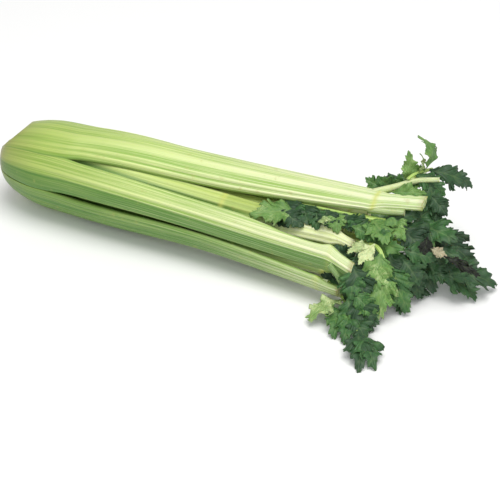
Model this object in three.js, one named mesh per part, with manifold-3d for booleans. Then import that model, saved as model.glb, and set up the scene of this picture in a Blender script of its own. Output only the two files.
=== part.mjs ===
// A trimmed head of celery lying on its side, in millimetres, +Z up.
// Inside this file +X runs from the cut butt (x = 0) to the leaves, y = 0 is the middle of the butt
// and z = 0 is the surface that the head lies on. The group at the end moves the origin to the
// middle of the head's footprint.
import * as THREE from "three";
import { mergeVertices } from "three/addons/utils/BufferGeometryUtils.js";
import Module from "manifold-3d";

const wasm = await Module();
wasm.setup();

// ---- driving dimensions -------------------------------------------------------------------------

const GAP = 0.35; // clear space between two pieces that touch
const SPLAY_FROM = 70; // where the stalks begin to leave the round bundle
const LOOSE_FROM = 60; // where a stalk's section begins to close from the bundle's curve to its own
const LOOSE_AT = 160; // where it has done so

// Where a stalk's sections stand, besides those at its ends and its joint.
const STATIONS = [4, 10, 20, 38, 60, 90, 135, 185, 235];
const INNER_STATIONS = [20, 38, 60, 110, 190];

// Radius of the bundle's skin, and the height of its middle, at each distance from the butt.
const SKIN = [
  [0, 12.5], [4, 19], [10, 25], [20, 30], [38, 34.6], [60, 36], [120, 37.5], [200, 33], [340, 30.6],
];
const AXIS = [[0, 35.8], [60, 36.7], [130, 38.2], [200, 37.3], [300, 33.4]];

// ring: the way a stalk's back faces at the bulge, in degrees from +Y towards +Z.
// inset: depth of its back under the skin. from, node, cut: where it starts, its joint, its cut end.
// tip: [y, z] of its back at the cut end, and facing the way it faces there. splay: how late it leaves.
// turn: how far [y, z] its stem turns off that line past the joint. ribs: how many on its back.
// width: round the back at the bulge, half way, under the joint and past it.
// curve: radius of the back half way, at the joint and at the cut. thick: at the bulge, half way, at the cut.
// hug: curve of its back at the bulge, as a share of the bundle's. stubs: side stems cut off at the joint,
// each as the points that it runs through, its radius at the root and its radius at the end.
const STALKS = [
  { name: "stalk_top", ring: 100, inset: 0, from: 0, node: 306, cut: 343,
    tip: [38.4, 56.4], facing: 109, splay: 0.9, turn: [2, 3.4],
    width: [43, 39.5, 25, 16], curve: [21, 15, 9.5], thick: [7.5, 9.5, 8], ribs: 9, hug: 0.97,
    stubs: [[[[301, 41, 55.5], [317, 48, 61], [331, 54, 66.5], [348, 57, 70.5]], 3, 2.1],
      [[[303, 27, 49.5], [318, 29, 50], [331, 31, 51.3]], 3.2, 2.6]] },
  { name: "stalk_front", ring: 158, inset: 0, from: 0, node: 294, cut: 314,
    tip: [-31.8, 38.4], facing: 158, splay: 1, turn: [-1, -7],
    width: [29.6, 26.7, 26, 16], curve: [21, 16, 9.5], thick: [7.5, 9.5, 8], ribs: 9, hug: 0.8,
    stubs: [[[[291, -35, 30], [299, -37, 28], [308, -39, 25]], 2, 1.6]] },
  { name: "stalk_low", ring: 217, inset: 0, from: 0, node: 288, cut: 307,
    tip: [-38, 11.7], facing: 216, splay: 1.7,
    width: [37.5, 32, 26, 15], curve: [21, 15, 9], thick: [7.5, 9.5, 7.5], ribs: 9, hug: 0.86,
    stubs: [[[[283, -33, 15], [290, -34, 17], [297, -34.5, 18]], 3, 2.8]] },
  { name: "stalk_under", ring: 277, inset: -1, from: 0, node: 280, cut: 298,
    tip: [2, 0.6], facing: 270, splay: 1.3,
    width: [36.5, 33, 26, 15], curve: [21, 15, 9], thick: [7.5, 9.5, 7.5], ribs: 7, hug: 0.86,
    stubs: [[[[278, 12, 6], [285, 15, 6], [292, 17, 6]], 3.2, 2.6]] },
  { name: "stalk_back_low", ring: 334, inset: 0, from: 0, node: 290, cut: 306,
    tip: [44, 11], facing: 331, splay: 1.4,
    width: [35.2, 33, 26, 15], curve: [21, 15, 9], thick: [7.5, 9.5, 7.5], ribs: 7, hug: 0.86,
    stubs: [[[[288, 41, 19], [296, 44, 22], [306, 46, 24]], 3.2, 2.6]] },
  { name: "stalk_back", ring: 29, inset: 0, from: 0, node: 302, cut: 322,
    tip: [67.2, 36], facing: 25, splay: 1.29,
    width: [33, 32.5, 26, 15], curve: [21, 15, 9], thick: [7.5, 9.5, 7.5], ribs: 7, hug: 0.86,
    stubs: [[[[300, 60, 33], [308, 64, 31], [318, 68, 30]], 3.2, 2.6]] },
  { name: "inner_front", ring: 140, inset: 15, from: 20, node: 284, cut: 303,
    tip: [4, 36.4], facing: 121, splay: 1.52,
    width: [30, 25, 20, 12], curve: [14, 11, 7], thick: [5.5, 7, 6], ribs: 5, hug: 0.85 },
  { name: "inner_low", ring: 196, inset: 9.5, from: 14, node: 276, cut: 292,
    tip: [-20, 22], facing: 196, splay: 1.6,
    width: [27, 24, 18, 12], curve: [14, 11, 7], thick: [5.5, 7, 6], ribs: 5, hug: 0.85 },
  { name: "inner_under", ring: 264, inset: 10.5, from: 14, node: 272, cut: 288,
    tip: [12, 12.5], facing: 264, splay: 1.6,
    width: [27, 24, 18, 12], curve: [14, 11, 7], thick: [5.5, 7, 6], ribs: 5, hug: 0.85 },
  { name: "inner_back", ring: 329, inset: 10.5, from: 14, node: 280, cut: 296,
    tip: [33.2, 25.6], facing: 339, splay: 1.63,
    width: [27, 24, 18, 12], curve: [14, 11, 7], thick: [5.5, 7, 6], ribs: 5, hug: 0.85 },
  { name: "inner_top", ring: 53, inset: 10.5, from: 14, node: 286, cut: 300,
    tip: [40, 37.5], facing: 60, splay: 1.6,
    width: [27, 24, 18, 12], curve: [14, 11, 7], thick: [5.5, 7, 6], ribs: 5, hug: 0.85 },
  { name: "heart_top", ring: 100, inset: 21.5, from: 24, node: 270, cut: 290,
    tip: [22, 39.4], facing: 100, splay: 1.48,
    width: [17, 16, 13, 9], curve: [9, 8, 5.5], thick: [4.5, 5.5, 5], ribs: 4, hug: 0.7 },
  { name: "heart_low", ring: 220, inset: 21.5, from: 24, node: 262, cut: 282,
    tip: [6.7, 25.6], facing: 225, splay: 1.5,
    width: [17, 16, 13, 9], curve: [9, 8, 5.5], thick: [4.5, 5.5, 5], ribs: 4, hug: 0.7 },
  { name: "heart_back", ring: 340, inset: 21.5, from: 24, node: 266, cut: 286,
    tip: [25.2, 29], facing: 340, splay: 1.68,
    width: [17, 16, 13, 9], curve: [9, 8, 5.5], thick: [4.5, 5.5, 5], ribs: 4, hug: 0.7 },
];

// The solid base that the stalks stand on, turned from [radius, distance from the cut].
const BUTT = [
  [0, 0], [5.6, 0], [11.4, 4], [16.2, 9], [16.4, 13], [12, 14.5], [11.6, 22], [5.6, 24], [0, 32],
];

const BLADE = 0.9; // thickness of a leaf's blade
const MIDRIB = 2.4; // its thickness along the midrib at the base
const FINE = 0.02; // detail smaller than this, where leaves meet, is let go

// Half of a leaflet's cut edge, from its base to its tip: [along, out, where that vein leaves the midrib].
const EDGE = [
  [0, 0.02, 0], [0.2, 0.11, 0.06], [0.34, 0.4, 0.14], [0.43, 0.33, 0.19], [0.6, 0.5, 0.27],
  [0.56, 0.2, 0.38], [0.75, 0.35, 0.5], [0.76, 0.2, 0.62], [0.88, 0.13, 0.78], [1, 0, 1],
];

// stems: [points that it runs through, radius at the root, radius at the end].
// leaves: [stem, share of the way along it, tip, width over length, the way its upper side faces, bend].
const SPRAYS = [
  { name: "spray_top",
    stems: [[[[325, 51.5, 67.5], [328, 56, 70], [333, 62, 71], [338, 70, 70]], 2, 1.2]],
    leaves: [
      [0, 0.25, [322, 60, 88], 0.62, [0.5, -0.9, 0.3], 0.06],
      [0, 0.45, [329, 65, 84], 0.4, [1, 0, 0.3], 0.3],
      [0, 0.65, [325, 69, 96], 0.75, [1, 0.1, 0.3], 0.45],
      [0, 0.85, [366, 86, 53], 0.52, [0.4, -0.5, 0.8], 0.1],
      [0, 0.4, [352, 62, 54], 0.8, [0.3, -0.6, 0.8], 0.1],
    ] },
  { name: "spray_back",
    stems: [[[[302, 61, 45], [314, 70, 46], [324, 80, 40], [330, 88, 30]], 2.6, 1.3]],
    leaves: [
      [0, 0.05, [287, 62, 52], 0.95, [-0.2, -0.7, 0.7], 0.1],
      [0, 0.3, [311, 72, 57], 0.8, [0.2, -0.8, 0.5], 0.1],
      [0, 0.5, [296, 100, 34], 0.8, [0, 0.2, 1], 0.1],
      [0, 0.85, [314, 108, 14], 0.8, [0, 0.6, 0.8], 0.1],
      [0, 0.97, [338, 96, 10], 0.9, [0.4, 0.2, 0.9], 0.12],
    ] },
  { name: "spray_back_low",
    stems: [[[[290, 50, 14], [304, 58, 15], [318, 62, 11], [330, 60, 6]], 2.4, 1.2]],
    leaves: [
      [0, 0.3, [292, 86, 5], 0.8, [-0.2, 0.3, 1], 0.1],
      [0, 0.6, [314, 84, 3], 0.8, [0, 0.3, 1], 0.12],
      [0, 0.96, [354, 66, 1.6], 0.85, [0.3, 0.1, 1], 0.1],
    ] },
  { name: "spray_gap",
    stems: [[[[236, 12.5, 47.2], [255, 15.5, 46.8], [275, 17, 46.5], [294, 20, 45.5]], 1.3, 1.2]],
    leaves: [
      [0, 0.33, [229, -16, 51], 0.6, [0, -0.3, 1], 0.06],
      [0, 0.15, [262, -7, 46], 0.95, [-0.1, -0.3, 1], 0.08],
      [0, 0.5, [277, -8, 44.5], 1, [0.1, -0.4, 1], 0.08],
      [0, 0.75, [292, -4, 43], 1, [0.2, -0.5, 0.9], 0.08],
      [0, 0.97, [306, 4, 41], 0.85, [0.2, -0.5, 0.8], 0.1],
    ] },
  { name: "spray_heart", core: [[328, 15, 33], [17, 14, 9]],
    stems: [
      [[[290.5, 23, 42.5], [310, 24, 43], [330, 30, 42], [348, 39, 38]], 3, 1.6],
      [[[282.5, 5, 26], [304, 8, 30], [326, 8, 32], [344, 6, 27]], 3, 1.6],
      [[[286.5, 27, 29], [308, 26, 31], [334, 22, 30], [366, 14, 20]], 3, 1.6],
    ],
    leaves: [
      [0, 0.3, [331, -2, 43], 0.85, [0.3, -0.6, 0.8], 0.08],
      [0, 0.8, [349, 57, 50], 0.8, [0.3, -0.5, 0.8], 0.1],
      [0, 0.97, [359, 48, 42], 0.9, [0.5, -0.6, 0.5], 0.1],
      [0, 1, [388, 38, 14], 0.6, [0.4, -0.5, 0.8], 0.06],
      [0, 0.45, [341, 38, 47], 0.8, [0.2, -0.5, 0.8], 0.1],
      [0, 0.7, [358, 16, 38], 0.8, [0.4, -0.6, 0.7], 0.1],
      [1, 0.45, [342, -2, 42], 0.8, [0.4, -0.7, 0.6], 0.1],
      [1, 0.7, [346, -16, 27], 0.9, [0.4, -0.7, 0.6], 0.1],
      [1, 1, [360, -8, 6], 0.8, [0.5, -0.7, 0.5], 0.1],
      [2, 0.75, [384, 20, 16], 0.58, [0.5, -0.4, 0.8], 0.08],
      [2, 1, [407, 34, 5], 0.65, [0.3, -0.4, 0.9], 0.1],
      [2, 0.97, [398, 14, 3], 0.56, [0.4, -0.5, 0.8], 0.1],
    ] },
  { name: "spray_front",
    stems: [[[[303.6, 5, 34], [316, 0, 39], [326, -7, 40], [334, -15, 35]], 2.3, 1.4]],
    leaves: [
      [0, 0.35, [308, -22, 42], 0.5, [0.2, -0.5, 0.9], 0.08],
      [0, 0.6, [319, -31, 39], 0.8, [0.2, -0.5, 0.9], 0.08],
      [0, 0.75, [334, -36, 20], 0.8, [0.2, -0.8, 0.5], 0.1],
      [0, 0.9, [351, -42, 6], 0.65, [0.35, -0.75, 0.55], 0.1],
      [0, 1, [358, -25, 4], 0.66, [0.5, -0.7, 0.5], 0.08],
      [0, 0.6, [317, -33, 20], 0.8, [0.1, -0.8, 0.6], 0.08],
    ] },
  { name: "spray_low",
    stems: [[[[296, -24, 8], [309.5, -32.5, 7], [321, -49, 8], [336, -68, 6]], 2.4, 1.3]],
    leaves: [
      [0, 0.38, [297, -68, 4.5], 1, [-0.3, 0.2, 1], 0.1],
      [0, 0.5, [317, -74, 2], 0.6, [0, -0.3, 1], 0.1],
      [0, 0.62, [328, -77, 2], 0.6, [0.1, -0.3, 1], 0.1],
      [0, 0.55, [345, -50, 6], 0.9, [0.3, -0.6, 0.8], 0.1],
      [0, 0.73, [343, -70, 3], 0.9, [0.3, -0.5, 0.8], 0.1],
      [0, 0.97, [350, -101, 1.5], 0.62, [0.1, -0.3, 1], 0.1],
      [0, 1, [359, -95, 2.5], 0.7, [0.3, -0.3, 0.9], 0.1],
    ] },
  { name: "spray_under",
    stems: [[[[298.6, 4, 6], [315, 2, 8], [335, -2, 7], [350, -4, 4]], 2.4, 1.2]],
    leaves: [
      [0, 0.8, [352, -26, 1.5], 0.7, [0, -0.3, 1], 0.1],
      [0, 0.6, [340, 28, 2], 0.8, [0, 0.3, 1], 0.1],
      [0, 0.97, [364, 6, 1.6], 0.7, [0.3, 0, 1], 0.1],
    ] },
];

// ---- sizes worked out from them -----------------------------------------------------------------

const radians = THREE.MathUtils.degToRad;
const mix = THREE.MathUtils.lerp;
const ease = THREE.MathUtils.smoothstep;

// The value at x of a smooth curve through keys [[x, value], ...], flat past both ends.
function along(keys, x) {
  const last = keys.length - 1;
  if (x <= keys[0][0]) return keys[0][1];
  if (x >= keys[last][0]) return keys[last][1];
  let i = 0;
  while (x > keys[i + 1][0]) i += 1;
  const slope = (j) => {
    const [before, after] = [keys[Math.max(j - 1, 0)], keys[Math.min(j + 1, last)]];
    return (after[1] - before[1]) / (after[0] - before[0]);
  };
  const step = keys[i + 1][0] - keys[i][0];
  const t = (x - keys[i][0]) / step;
  const [t2, t3] = [t * t, t * t * t];
  return (2 * t3 - 3 * t2 + 1) * keys[i][1] + (t3 - 2 * t2 + t) * step * slope(i)
    + (3 * t2 - 2 * t3) * keys[i + 1][1] + (t3 - t2) * step * slope(i + 1);
}

// Where a stalk is at x, and the size of its section there.
function stalkAt(s, x) {
  const skin = along(SKIN, x) - s.inset * Math.min(1, along(SKIN, x) / 36);
  const away = Math.max(0, (x - SPLAY_FROM) / (s.cut - SPLAY_FROM)) ** s.splay;
  const facing = radians(mix(s.ring, s.facing, away));
  const ring = radians(s.ring);
  const height = along(AXIS, x);
  const middle = (SPLAY_FROM + s.node) / 2;
  const [wide, halfway, joint, petiole] = s.width;
  const [curveHalf, curveJoint, curveCut] = s.curve;
  const own = along([[middle, curveHalf], [s.node, curveJoint], [s.node + 8, curveCut]], x);
  const swell = Math.max(0, 1 - Math.abs(x - s.node) / 6);
  const past = Math.max(0, (x - s.node) / (s.cut - s.node));
  const [turnY, turnZ] = s.turn ?? [0, 0];
  return {
    y: mix(skin * Math.cos(ring), s.tip[0], away) + turnY * past,
    z: mix(height + skin * Math.sin(ring), s.tip[1], away) + turnZ * past,
    facing,
    width: along([[0, wide * 0.28], [10, wide * 0.63], [38, wide * 0.92], [60, wide], [middle, halfway],
      [s.node, joint], [s.node + 8, petiole], [s.cut, petiole * 0.96]], x) + swell,
    curve: mix(skin * s.hug, own, ease(x, LOOSE_FROM, LOOSE_AT)) + swell * 0.4,
    thick: along([[0, s.thick[0] * 0.85], [60, s.thick[0]], [middle, s.thick[1]], [s.node, s.thick[1]],
      [s.cut, s.thick[2]]], x),
    rib: 0.9 * ease(x, 10, 90) * (1 - 0.4 * ease(x, s.node, s.node + 8)) * Math.min(1, s.width[0] / 40),
  };
}

// The section's outline at x, as points [x, y, z]: the ribbed back one way, the smooth hollow the other.
function stalkSection(s, x, grow = 0) {
  const at = stalkAt(s, x);
  const half = (at.width / 2 + grow) / at.curve;
  const out = [Math.cos(at.facing), Math.sin(at.facing)];
  const side = [-out[1], out[0]];
  const point = (share, depth) => {
    const turn = share * half;
    const r = at.curve - depth;
    const [o, a] = [r * Math.cos(turn) - at.curve, r * Math.sin(turn)];
    return [x, at.y + o * out[0] + a * side[0], Math.max(-grow, at.z + o * out[1] + a * side[1])];
  };
  const outline = [];
  for (let k = 0; k <= 2 * s.ribs; k += 1) {
    const share = k / s.ribs - 1;
    outline.push(point(share, k % 2 ? -at.rib - grow : -grow));
  }
  const hollowSteps = Math.max(4, Math.round(s.ribs * 0.7));
  for (let k = 0; k <= hollowSteps; k += 1) {
    const share = 0.93 * (1 - (2 * k) / hollowSteps);
    const edge = Math.min(at.thick * 0.6, 4.6);
    outline.push(point(share, mix(at.thick, edge, Math.abs(share) ** 2.2) + grow));
  }
  return outline;
}

// ---- solids -------------------------------------------------------------------------------------

// A closed skin through rings of points that all have the same count, with both ends closed flat.
// Ends that are round are closed with a fan, others by their outline in the plane of Y and Z.
function loft(rings, round = false) {
  const count = rings[0].length;
  const index = [];
  for (let i = 0; i < rings.length - 1; i += 1) {
    for (let j = 0; j < count; j += 1) {
      const [a, b] = [i * count + j, i * count + ((j + 1) % count)];
      index.push(a, b, a + count, b, b + count, a + count);
    }
  }
  const fan = rings[0].slice(2).map((_, k) => [0, k + 1, k + 2]);
  const cap = (ring, first, turned) => {
    const flat = ring.map((p) => new THREE.Vector2(p[1], p[2]));
    for (const [a, b, c] of round ? fan : THREE.ShapeUtils.triangulateShape(flat, [])) {
      index.push(first + a, first + (turned ? b : c), first + (turned ? c : b));
    }
  };
  cap(rings[0], 0, false);
  cap(rings.at(-1), (rings.length - 1) * count, true);
  return new THREE.BufferGeometry()
    .setAttribute("position", new THREE.Float32BufferAttribute(rings.flat(2), 3))
    .setIndex(index);
}

function solid(geometry) {
  const bare = geometry.clone();
  bare.deleteAttribute("normal");
  bare.deleteAttribute("uv");
  const merged = mergeVertices(bare, 1e-4);
  const corners = merged.index.array;
  const kept = [];
  for (let i = 0; i < corners.length; i += 3) {
    const [a, b, c] = corners.slice(i, i + 3);
    if (a !== b && b !== c && c !== a) kept.push(a, b, c);
  }
  return new wasm.Manifold(new wasm.Mesh({
    numProp: 3,
    vertProperties: merged.attributes.position.array,
    triVerts: new Uint32Array(kept),
  }));
}

function geometryOf(made) {
  const { vertProperties, triVerts } = made.getMesh();
  return new THREE.BufferGeometry()
    .setAttribute("position", new THREE.BufferAttribute(vertProperties, 3))
    .setIndex(new THREE.BufferAttribute(triVerts, 1));
}

// With grow, the same stalk thicker all over, to cut a clear space round it.
function stalk(s, grow = 0) {
  const stations = (s.inset > 0 ? INNER_STATIONS : STATIONS).filter((x) => x > s.from && x < s.node - 12);
  const xs = [s.from - grow, ...stations, s.node - 6, s.node, s.node + 8, s.cut + grow];
  const rod = solid(loft(xs.map((x) => stalkSection(s, x, grow))));
  return wasm.Manifold.union([rod, ...(s.stubs ?? []).map((cut) => tube(cut, grow))]);
}

const vector = (p) => new THREE.Vector3(...p);

const smooth = (points) => new THREE.CatmullRomCurve3(points.map(vector), false, "centripetal");

// The rings of a tapered round stem through points.
function stem(points, rootRadius, endRadius, sides = 6) {
  const curve = smooth(points);
  const steps = 2 * (points.length - 1);
  const rings = [];
  for (let i = 0; i <= steps; i += 1) {
    const [centre, tangent] = [curve.getPoint(i / steps), curve.getTangent(i / steps)];
    const side = new THREE.Vector3(0, 0, 1).cross(tangent).normalize();
    const up = tangent.clone().cross(side);
    const radius = mix(rootRadius, endRadius, i / steps);
    rings.push(Array.from({ length: sides }, (_, k) => {
      const turn = (2 * Math.PI * k) / sides;
      return centre.clone().addScaledVector(side, radius * Math.cos(turn))
        .addScaledVector(up, radius * Math.sin(turn)).toArray();
    }));
  }
  return rings;
}

// The way from a leaflet's own (along, out, up), all in shares of its length, to the head.
function leafPlace(base, tip, wide, face, bend) {
  const chord = tip.clone().sub(base);
  const length = chord.length();
  const ahead = chord.clone().normalize();
  const up = face.clone().addScaledVector(ahead, -face.dot(ahead)).normalize();
  const side = up.clone().cross(ahead);
  return (along, out, lift = 0) => {
    const arch = bend * 4 * along * (1 - along);
    const fold = 0.22 * Math.abs(out) * wide - 0.5 * bend * Math.abs(out);
    const wave = 0.05 * Math.sin(along * 17 + (out > 0 ? 0 : 2)) * Math.min(1, 3 * Math.abs(out));
    return base.clone().addScaledVector(ahead, along * length).addScaledVector(side, out * wide * length)
      .addScaledVector(up, (arch + fold + wave) * length + lift);
  };
}

function tube([points, root, end], grow = 0) {
  return solid(loft(stem(points, root + grow, end + grow), true));
}

// A leaflet: a thin plate with the cut edge, split alike on both faces and thicker along the midrib.
function leaflet(base, tip, wide, face, bend) {
  const place = leafPlace(base, tip, wide, face, bend);
  const points = [];
  const add = (along, out, lift) => points.push(place(along, out, lift).toArray()) - 1;
  const rows = EDGE.map(([along, out, vein], k) => [1, -1].map((way) => {
    const middle = add(vein, 0, way * mix(MIDRIB, BLADE, Math.min(1, vein * 1.6)) / 2);
    if (k === EDGE.length - 1) return [middle, middle, middle];
    return [add(along, out, way * BLADE / 2), middle, add(along, -out, way * BLADE / 2)];
  }));
  const index = [];
  const quad = (a, b, c, d) => index.push(a, b, d, b, c, d);
  rows.slice(1).forEach(([nextTop, nextUnder], k) => {
    const [top, under] = rows[k];
    for (const j of [0, 1]) {
      quad(top[j], top[j + 1], nextTop[j + 1], nextTop[j]);
      quad(under[j + 1], under[j], nextUnder[j], nextUnder[j + 1]);
    }
    quad(under[0], top[0], nextTop[0], nextUnder[0]);
    quad(top[2], under[2], nextUnder[2], nextTop[2]);
  });
  for (const j of [0, 1]) quad(rows[0][0][j + 1], rows[0][0][j], rows[0][1][j], rows[0][1][j + 1]);
  return solid(new THREE.BufferGeometry()
    .setAttribute("position", new THREE.Float32BufferAttribute(points.flat(), 3)).setIndex(index));
}

// The largest of the bodies that a cut leaves, without the slivers beside it.
function largest(made) {
  return made.decompose().reduce((best, next) => (next.volume() > best.volume() ? next : best));
}

function spray({ stems, leaves, core }) {
  const curves = stems.map(([points]) => smooth(points));
  const parts = stems.map((one) => tube(one));
  if (core) {
    const [centre, radii] = core;
    parts.push(solid(new THREE.IcosahedronGeometry(1, 0).scale(...radii).translate(...centre)));
  }
  for (const [on, share, tip, wide, face, bend] of leaves) {
    parts.push(leaflet(curves[on].getPoint(share), vector(tip), wide, vector(face), bend));
  }
  return wasm.Manifold.union(parts);
}

// ---- the head -----------------------------------------------------------------------------------

const head = new THREE.Group();

const PALE = { color: 0xc4d98a, roughness: 0.45 };
const YOUNG = { color: 0xdde8a8, roughness: 0.45 };
const CUT = { color: 0xd9d6a0, roughness: 0.6 };
const GREEN = { color: 0x3f7a2c, roughness: 0.5 };

function piece(name, made, finish) {
  const material = new THREE.MeshStandardMaterial({ ...finish, metalness: 0 });
  const mesh = new THREE.Mesh(geometryOf(made), material);
  mesh.name = name;
  head.add(mesh);
}

for (const s of STALKS) piece(s.name, stalk(s), s.name.startsWith("heart") ? YOUNG : PALE);

const profile = BUTT.map(([radius, x]) => new THREE.Vector2(radius, x));
const turned = new THREE.LatheGeometry(profile, 24).rotateZ(-Math.PI / 2).translate(0, 0, AXIS[0][1]);
piece("butt", solid(turned), CUT);

const clear = wasm.Manifold.union(STALKS.map((s) => stalk(s, GAP)));
for (const s of SPRAYS) piece(s.name, largest(spray(s).subtract(clear).simplify(FINE)), GREEN);

// The origin is the middle of the footprint, on the surface.
const box = new THREE.Box3().setFromObject(head);
head.position.set(-(box.min.x + box.max.x) / 2, -(box.min.y + box.max.y) / 2, -box.min.z);

export default head;
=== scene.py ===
"""A trimmed head of celery lying on its side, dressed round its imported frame.

The shapes are worked out in the head's own millimetres: +X runs from the cut butt (x = 0) to the
leaves, y = 0 is the middle of the butt and z = 0 is the surface that the head lies on. The last step
of each mesh takes it to the frame's metres.
"""
import logging
import math
import random
from collections.abc import Callable, Sequence
from dataclasses import dataclass
from enum import Enum

import bmesh
import bpy
from mathutils import Matrix, Vector


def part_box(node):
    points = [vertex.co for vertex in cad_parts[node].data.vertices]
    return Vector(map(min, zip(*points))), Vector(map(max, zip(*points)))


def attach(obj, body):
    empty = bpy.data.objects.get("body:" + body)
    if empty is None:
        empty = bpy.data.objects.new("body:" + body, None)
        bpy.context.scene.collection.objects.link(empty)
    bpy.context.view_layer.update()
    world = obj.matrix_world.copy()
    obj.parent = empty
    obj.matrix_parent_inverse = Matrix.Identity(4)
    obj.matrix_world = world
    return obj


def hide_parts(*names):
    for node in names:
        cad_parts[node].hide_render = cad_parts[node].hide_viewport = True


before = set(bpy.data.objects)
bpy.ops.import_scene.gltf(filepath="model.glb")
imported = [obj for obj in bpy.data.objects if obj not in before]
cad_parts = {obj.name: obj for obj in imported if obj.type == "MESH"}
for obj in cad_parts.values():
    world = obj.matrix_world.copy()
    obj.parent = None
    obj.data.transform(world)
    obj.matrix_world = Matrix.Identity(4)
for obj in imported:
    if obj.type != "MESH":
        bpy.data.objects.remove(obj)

log = logging.getLogger("celery")

Colour = tuple[float, float, float]
Point = tuple[float, float, float]
Keys = Sequence[tuple[float, float]]
Placed = tuple[Vector, dict[str, float]]  # a point of a skin and its named values
Stops = Sequence[tuple[float, Colour]]  # a colour ramp's places and colours
Socket = bpy.types.NodeSocket

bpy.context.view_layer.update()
BODY = "root"
UV = "UVMap"
MILLIMETRE = 0.001  # in the frame's metres


# ---- small sums ---------------------------------------------------------------------------------


def mix(a: float, b: float, t: float) -> float:
    """The value a share t of the way from a to b."""
    return a + (b - a) * t


def ease(x: float, low: float, high: float) -> float:
    """A smooth step: 0 below low and 1 above high."""
    t = min(1.0, max(0.0, (x - low) / (high - low)))
    return t * t * (3 - 2 * t)


def bump(x: float, middle: float, breadth: float) -> float:
    """A smooth bump, 1 at the middle, that has all but gone two breadths away."""
    return math.exp(-(((x - middle) / breadth) ** 2))


def along(keys: Keys, x: float) -> float:
    """The value at x of a smooth curve through keys, flat past both ends.

    Args:
        keys: (place, value) pairs in order of place.
        x: the place asked for.

    Returns:
        The value there.
    """
    last = len(keys) - 1
    if x <= keys[0][0]:
        return keys[0][1]
    if x >= keys[last][0]:
        return keys[last][1]
    i = next(k for k in range(last) if x <= keys[k + 1][0])

    def slope(j: int) -> float:
        """The curve's slope at a key."""
        before, after = keys[max(j - 1, 0)], keys[min(j + 1, last)]
        return (after[1] - before[1]) / (after[0] - before[0])

    step = keys[i + 1][0] - keys[i][0]
    t = (x - keys[i][0]) / step
    t2, t3 = t * t, t * t * t
    return ((2 * t3 - 3 * t2 + 1) * keys[i][1] + (t3 - 2 * t2 + t) * step * slope(i)
            + (3 * t2 - 2 * t3) * keys[i + 1][1] + (t3 - t2) * step * slope(i + 1))


def tint(red: int, green: int, blue: int) -> Colour:
    """A colour given as 0 to 255 on a screen, in the linear values that shaders use."""
    shares = (red / 255, green / 255, blue / 255)
    return tuple(s / 12.92 if s <= 0.04045 else ((s + 0.055) / 1.055) ** 2.4 for s in shares)


def ramp_stops(*rows: tuple[float, int, int, int]) -> Stops:
    """A colour ramp's stops from rows of a place and a colour on a screen."""
    return tuple((place, tint(*colour)) for place, *colour in rows)


class Path:
    """A smooth curve through points, the same one that the frame's stems follow."""

    NUDGE = 0.005  # the share of the way on each side over which its direction is read

    def __init__(self, points: Sequence[Point]) -> None:
        """Keeps the points that the curve runs through."""
        self.points = [Vector(p) for p in points]

    def at(self, share: float) -> Vector:
        """Works out a point of the curve.

        Args:
            share: how far along it is, from 0 to 1, counted in stretches between points.

        Returns:
            The point.
        """
        pts, last = self.points, len(self.points) - 1
        spot = last * min(1.0, max(0.0, share))
        i = min(int(spot), last - 1)
        w = spot - i
        one, two = pts[i], pts[i + 1]
        before = pts[i - 1] if i > 0 else 2 * pts[0] - pts[1]
        after = pts[i + 2] if i + 2 <= last else 2 * pts[last] - pts[last - 1]
        d0, d1, d2 = (max((b - a).length_squared ** 0.25, 1e-4)
                      for a, b in ((before, one), (one, two), (two, after)))
        t1 = ((one - before) / d0 - (two - before) / (d0 + d1) + (two - one) / d1) * d1
        t2 = ((two - one) / d1 - (after - one) / (d1 + d2) + (after - two) / d2) * d1
        return (one + t1 * w + (-3 * one + 3 * two - 2 * t1 - t2) * w * w
                + (2 * one - 2 * two + t1 + t2) * w ** 3)

    def way(self, share: float) -> Vector:
        """The direction of the curve at a share of the way along."""
        ahead, behind = min(1.0, share + self.NUDGE), max(0.0, share - self.NUDGE)
        return (self.at(ahead) - self.at(behind)).normalized()


# ---- meshes and pieces --------------------------------------------------------------------------


def head_to_frame() -> Matrix:
    """The move from the head's millimetres to the frame's metres, read off the butt's place."""
    low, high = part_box("butt")
    return Matrix.Translation((low.x, (low.y + high.y) / 2, 0.0)) @ Matrix.Scale(MILLIMETRE, 4)


HEAD_TO_FRAME = head_to_frame()


class Slot(Enum):
    """The record's material slots."""

    STALK = "stalk"
    INNER = "inner_stalk"
    HEART = "heart_stalk"
    BUTT = "butt"
    LEAF = "leaf"


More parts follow.
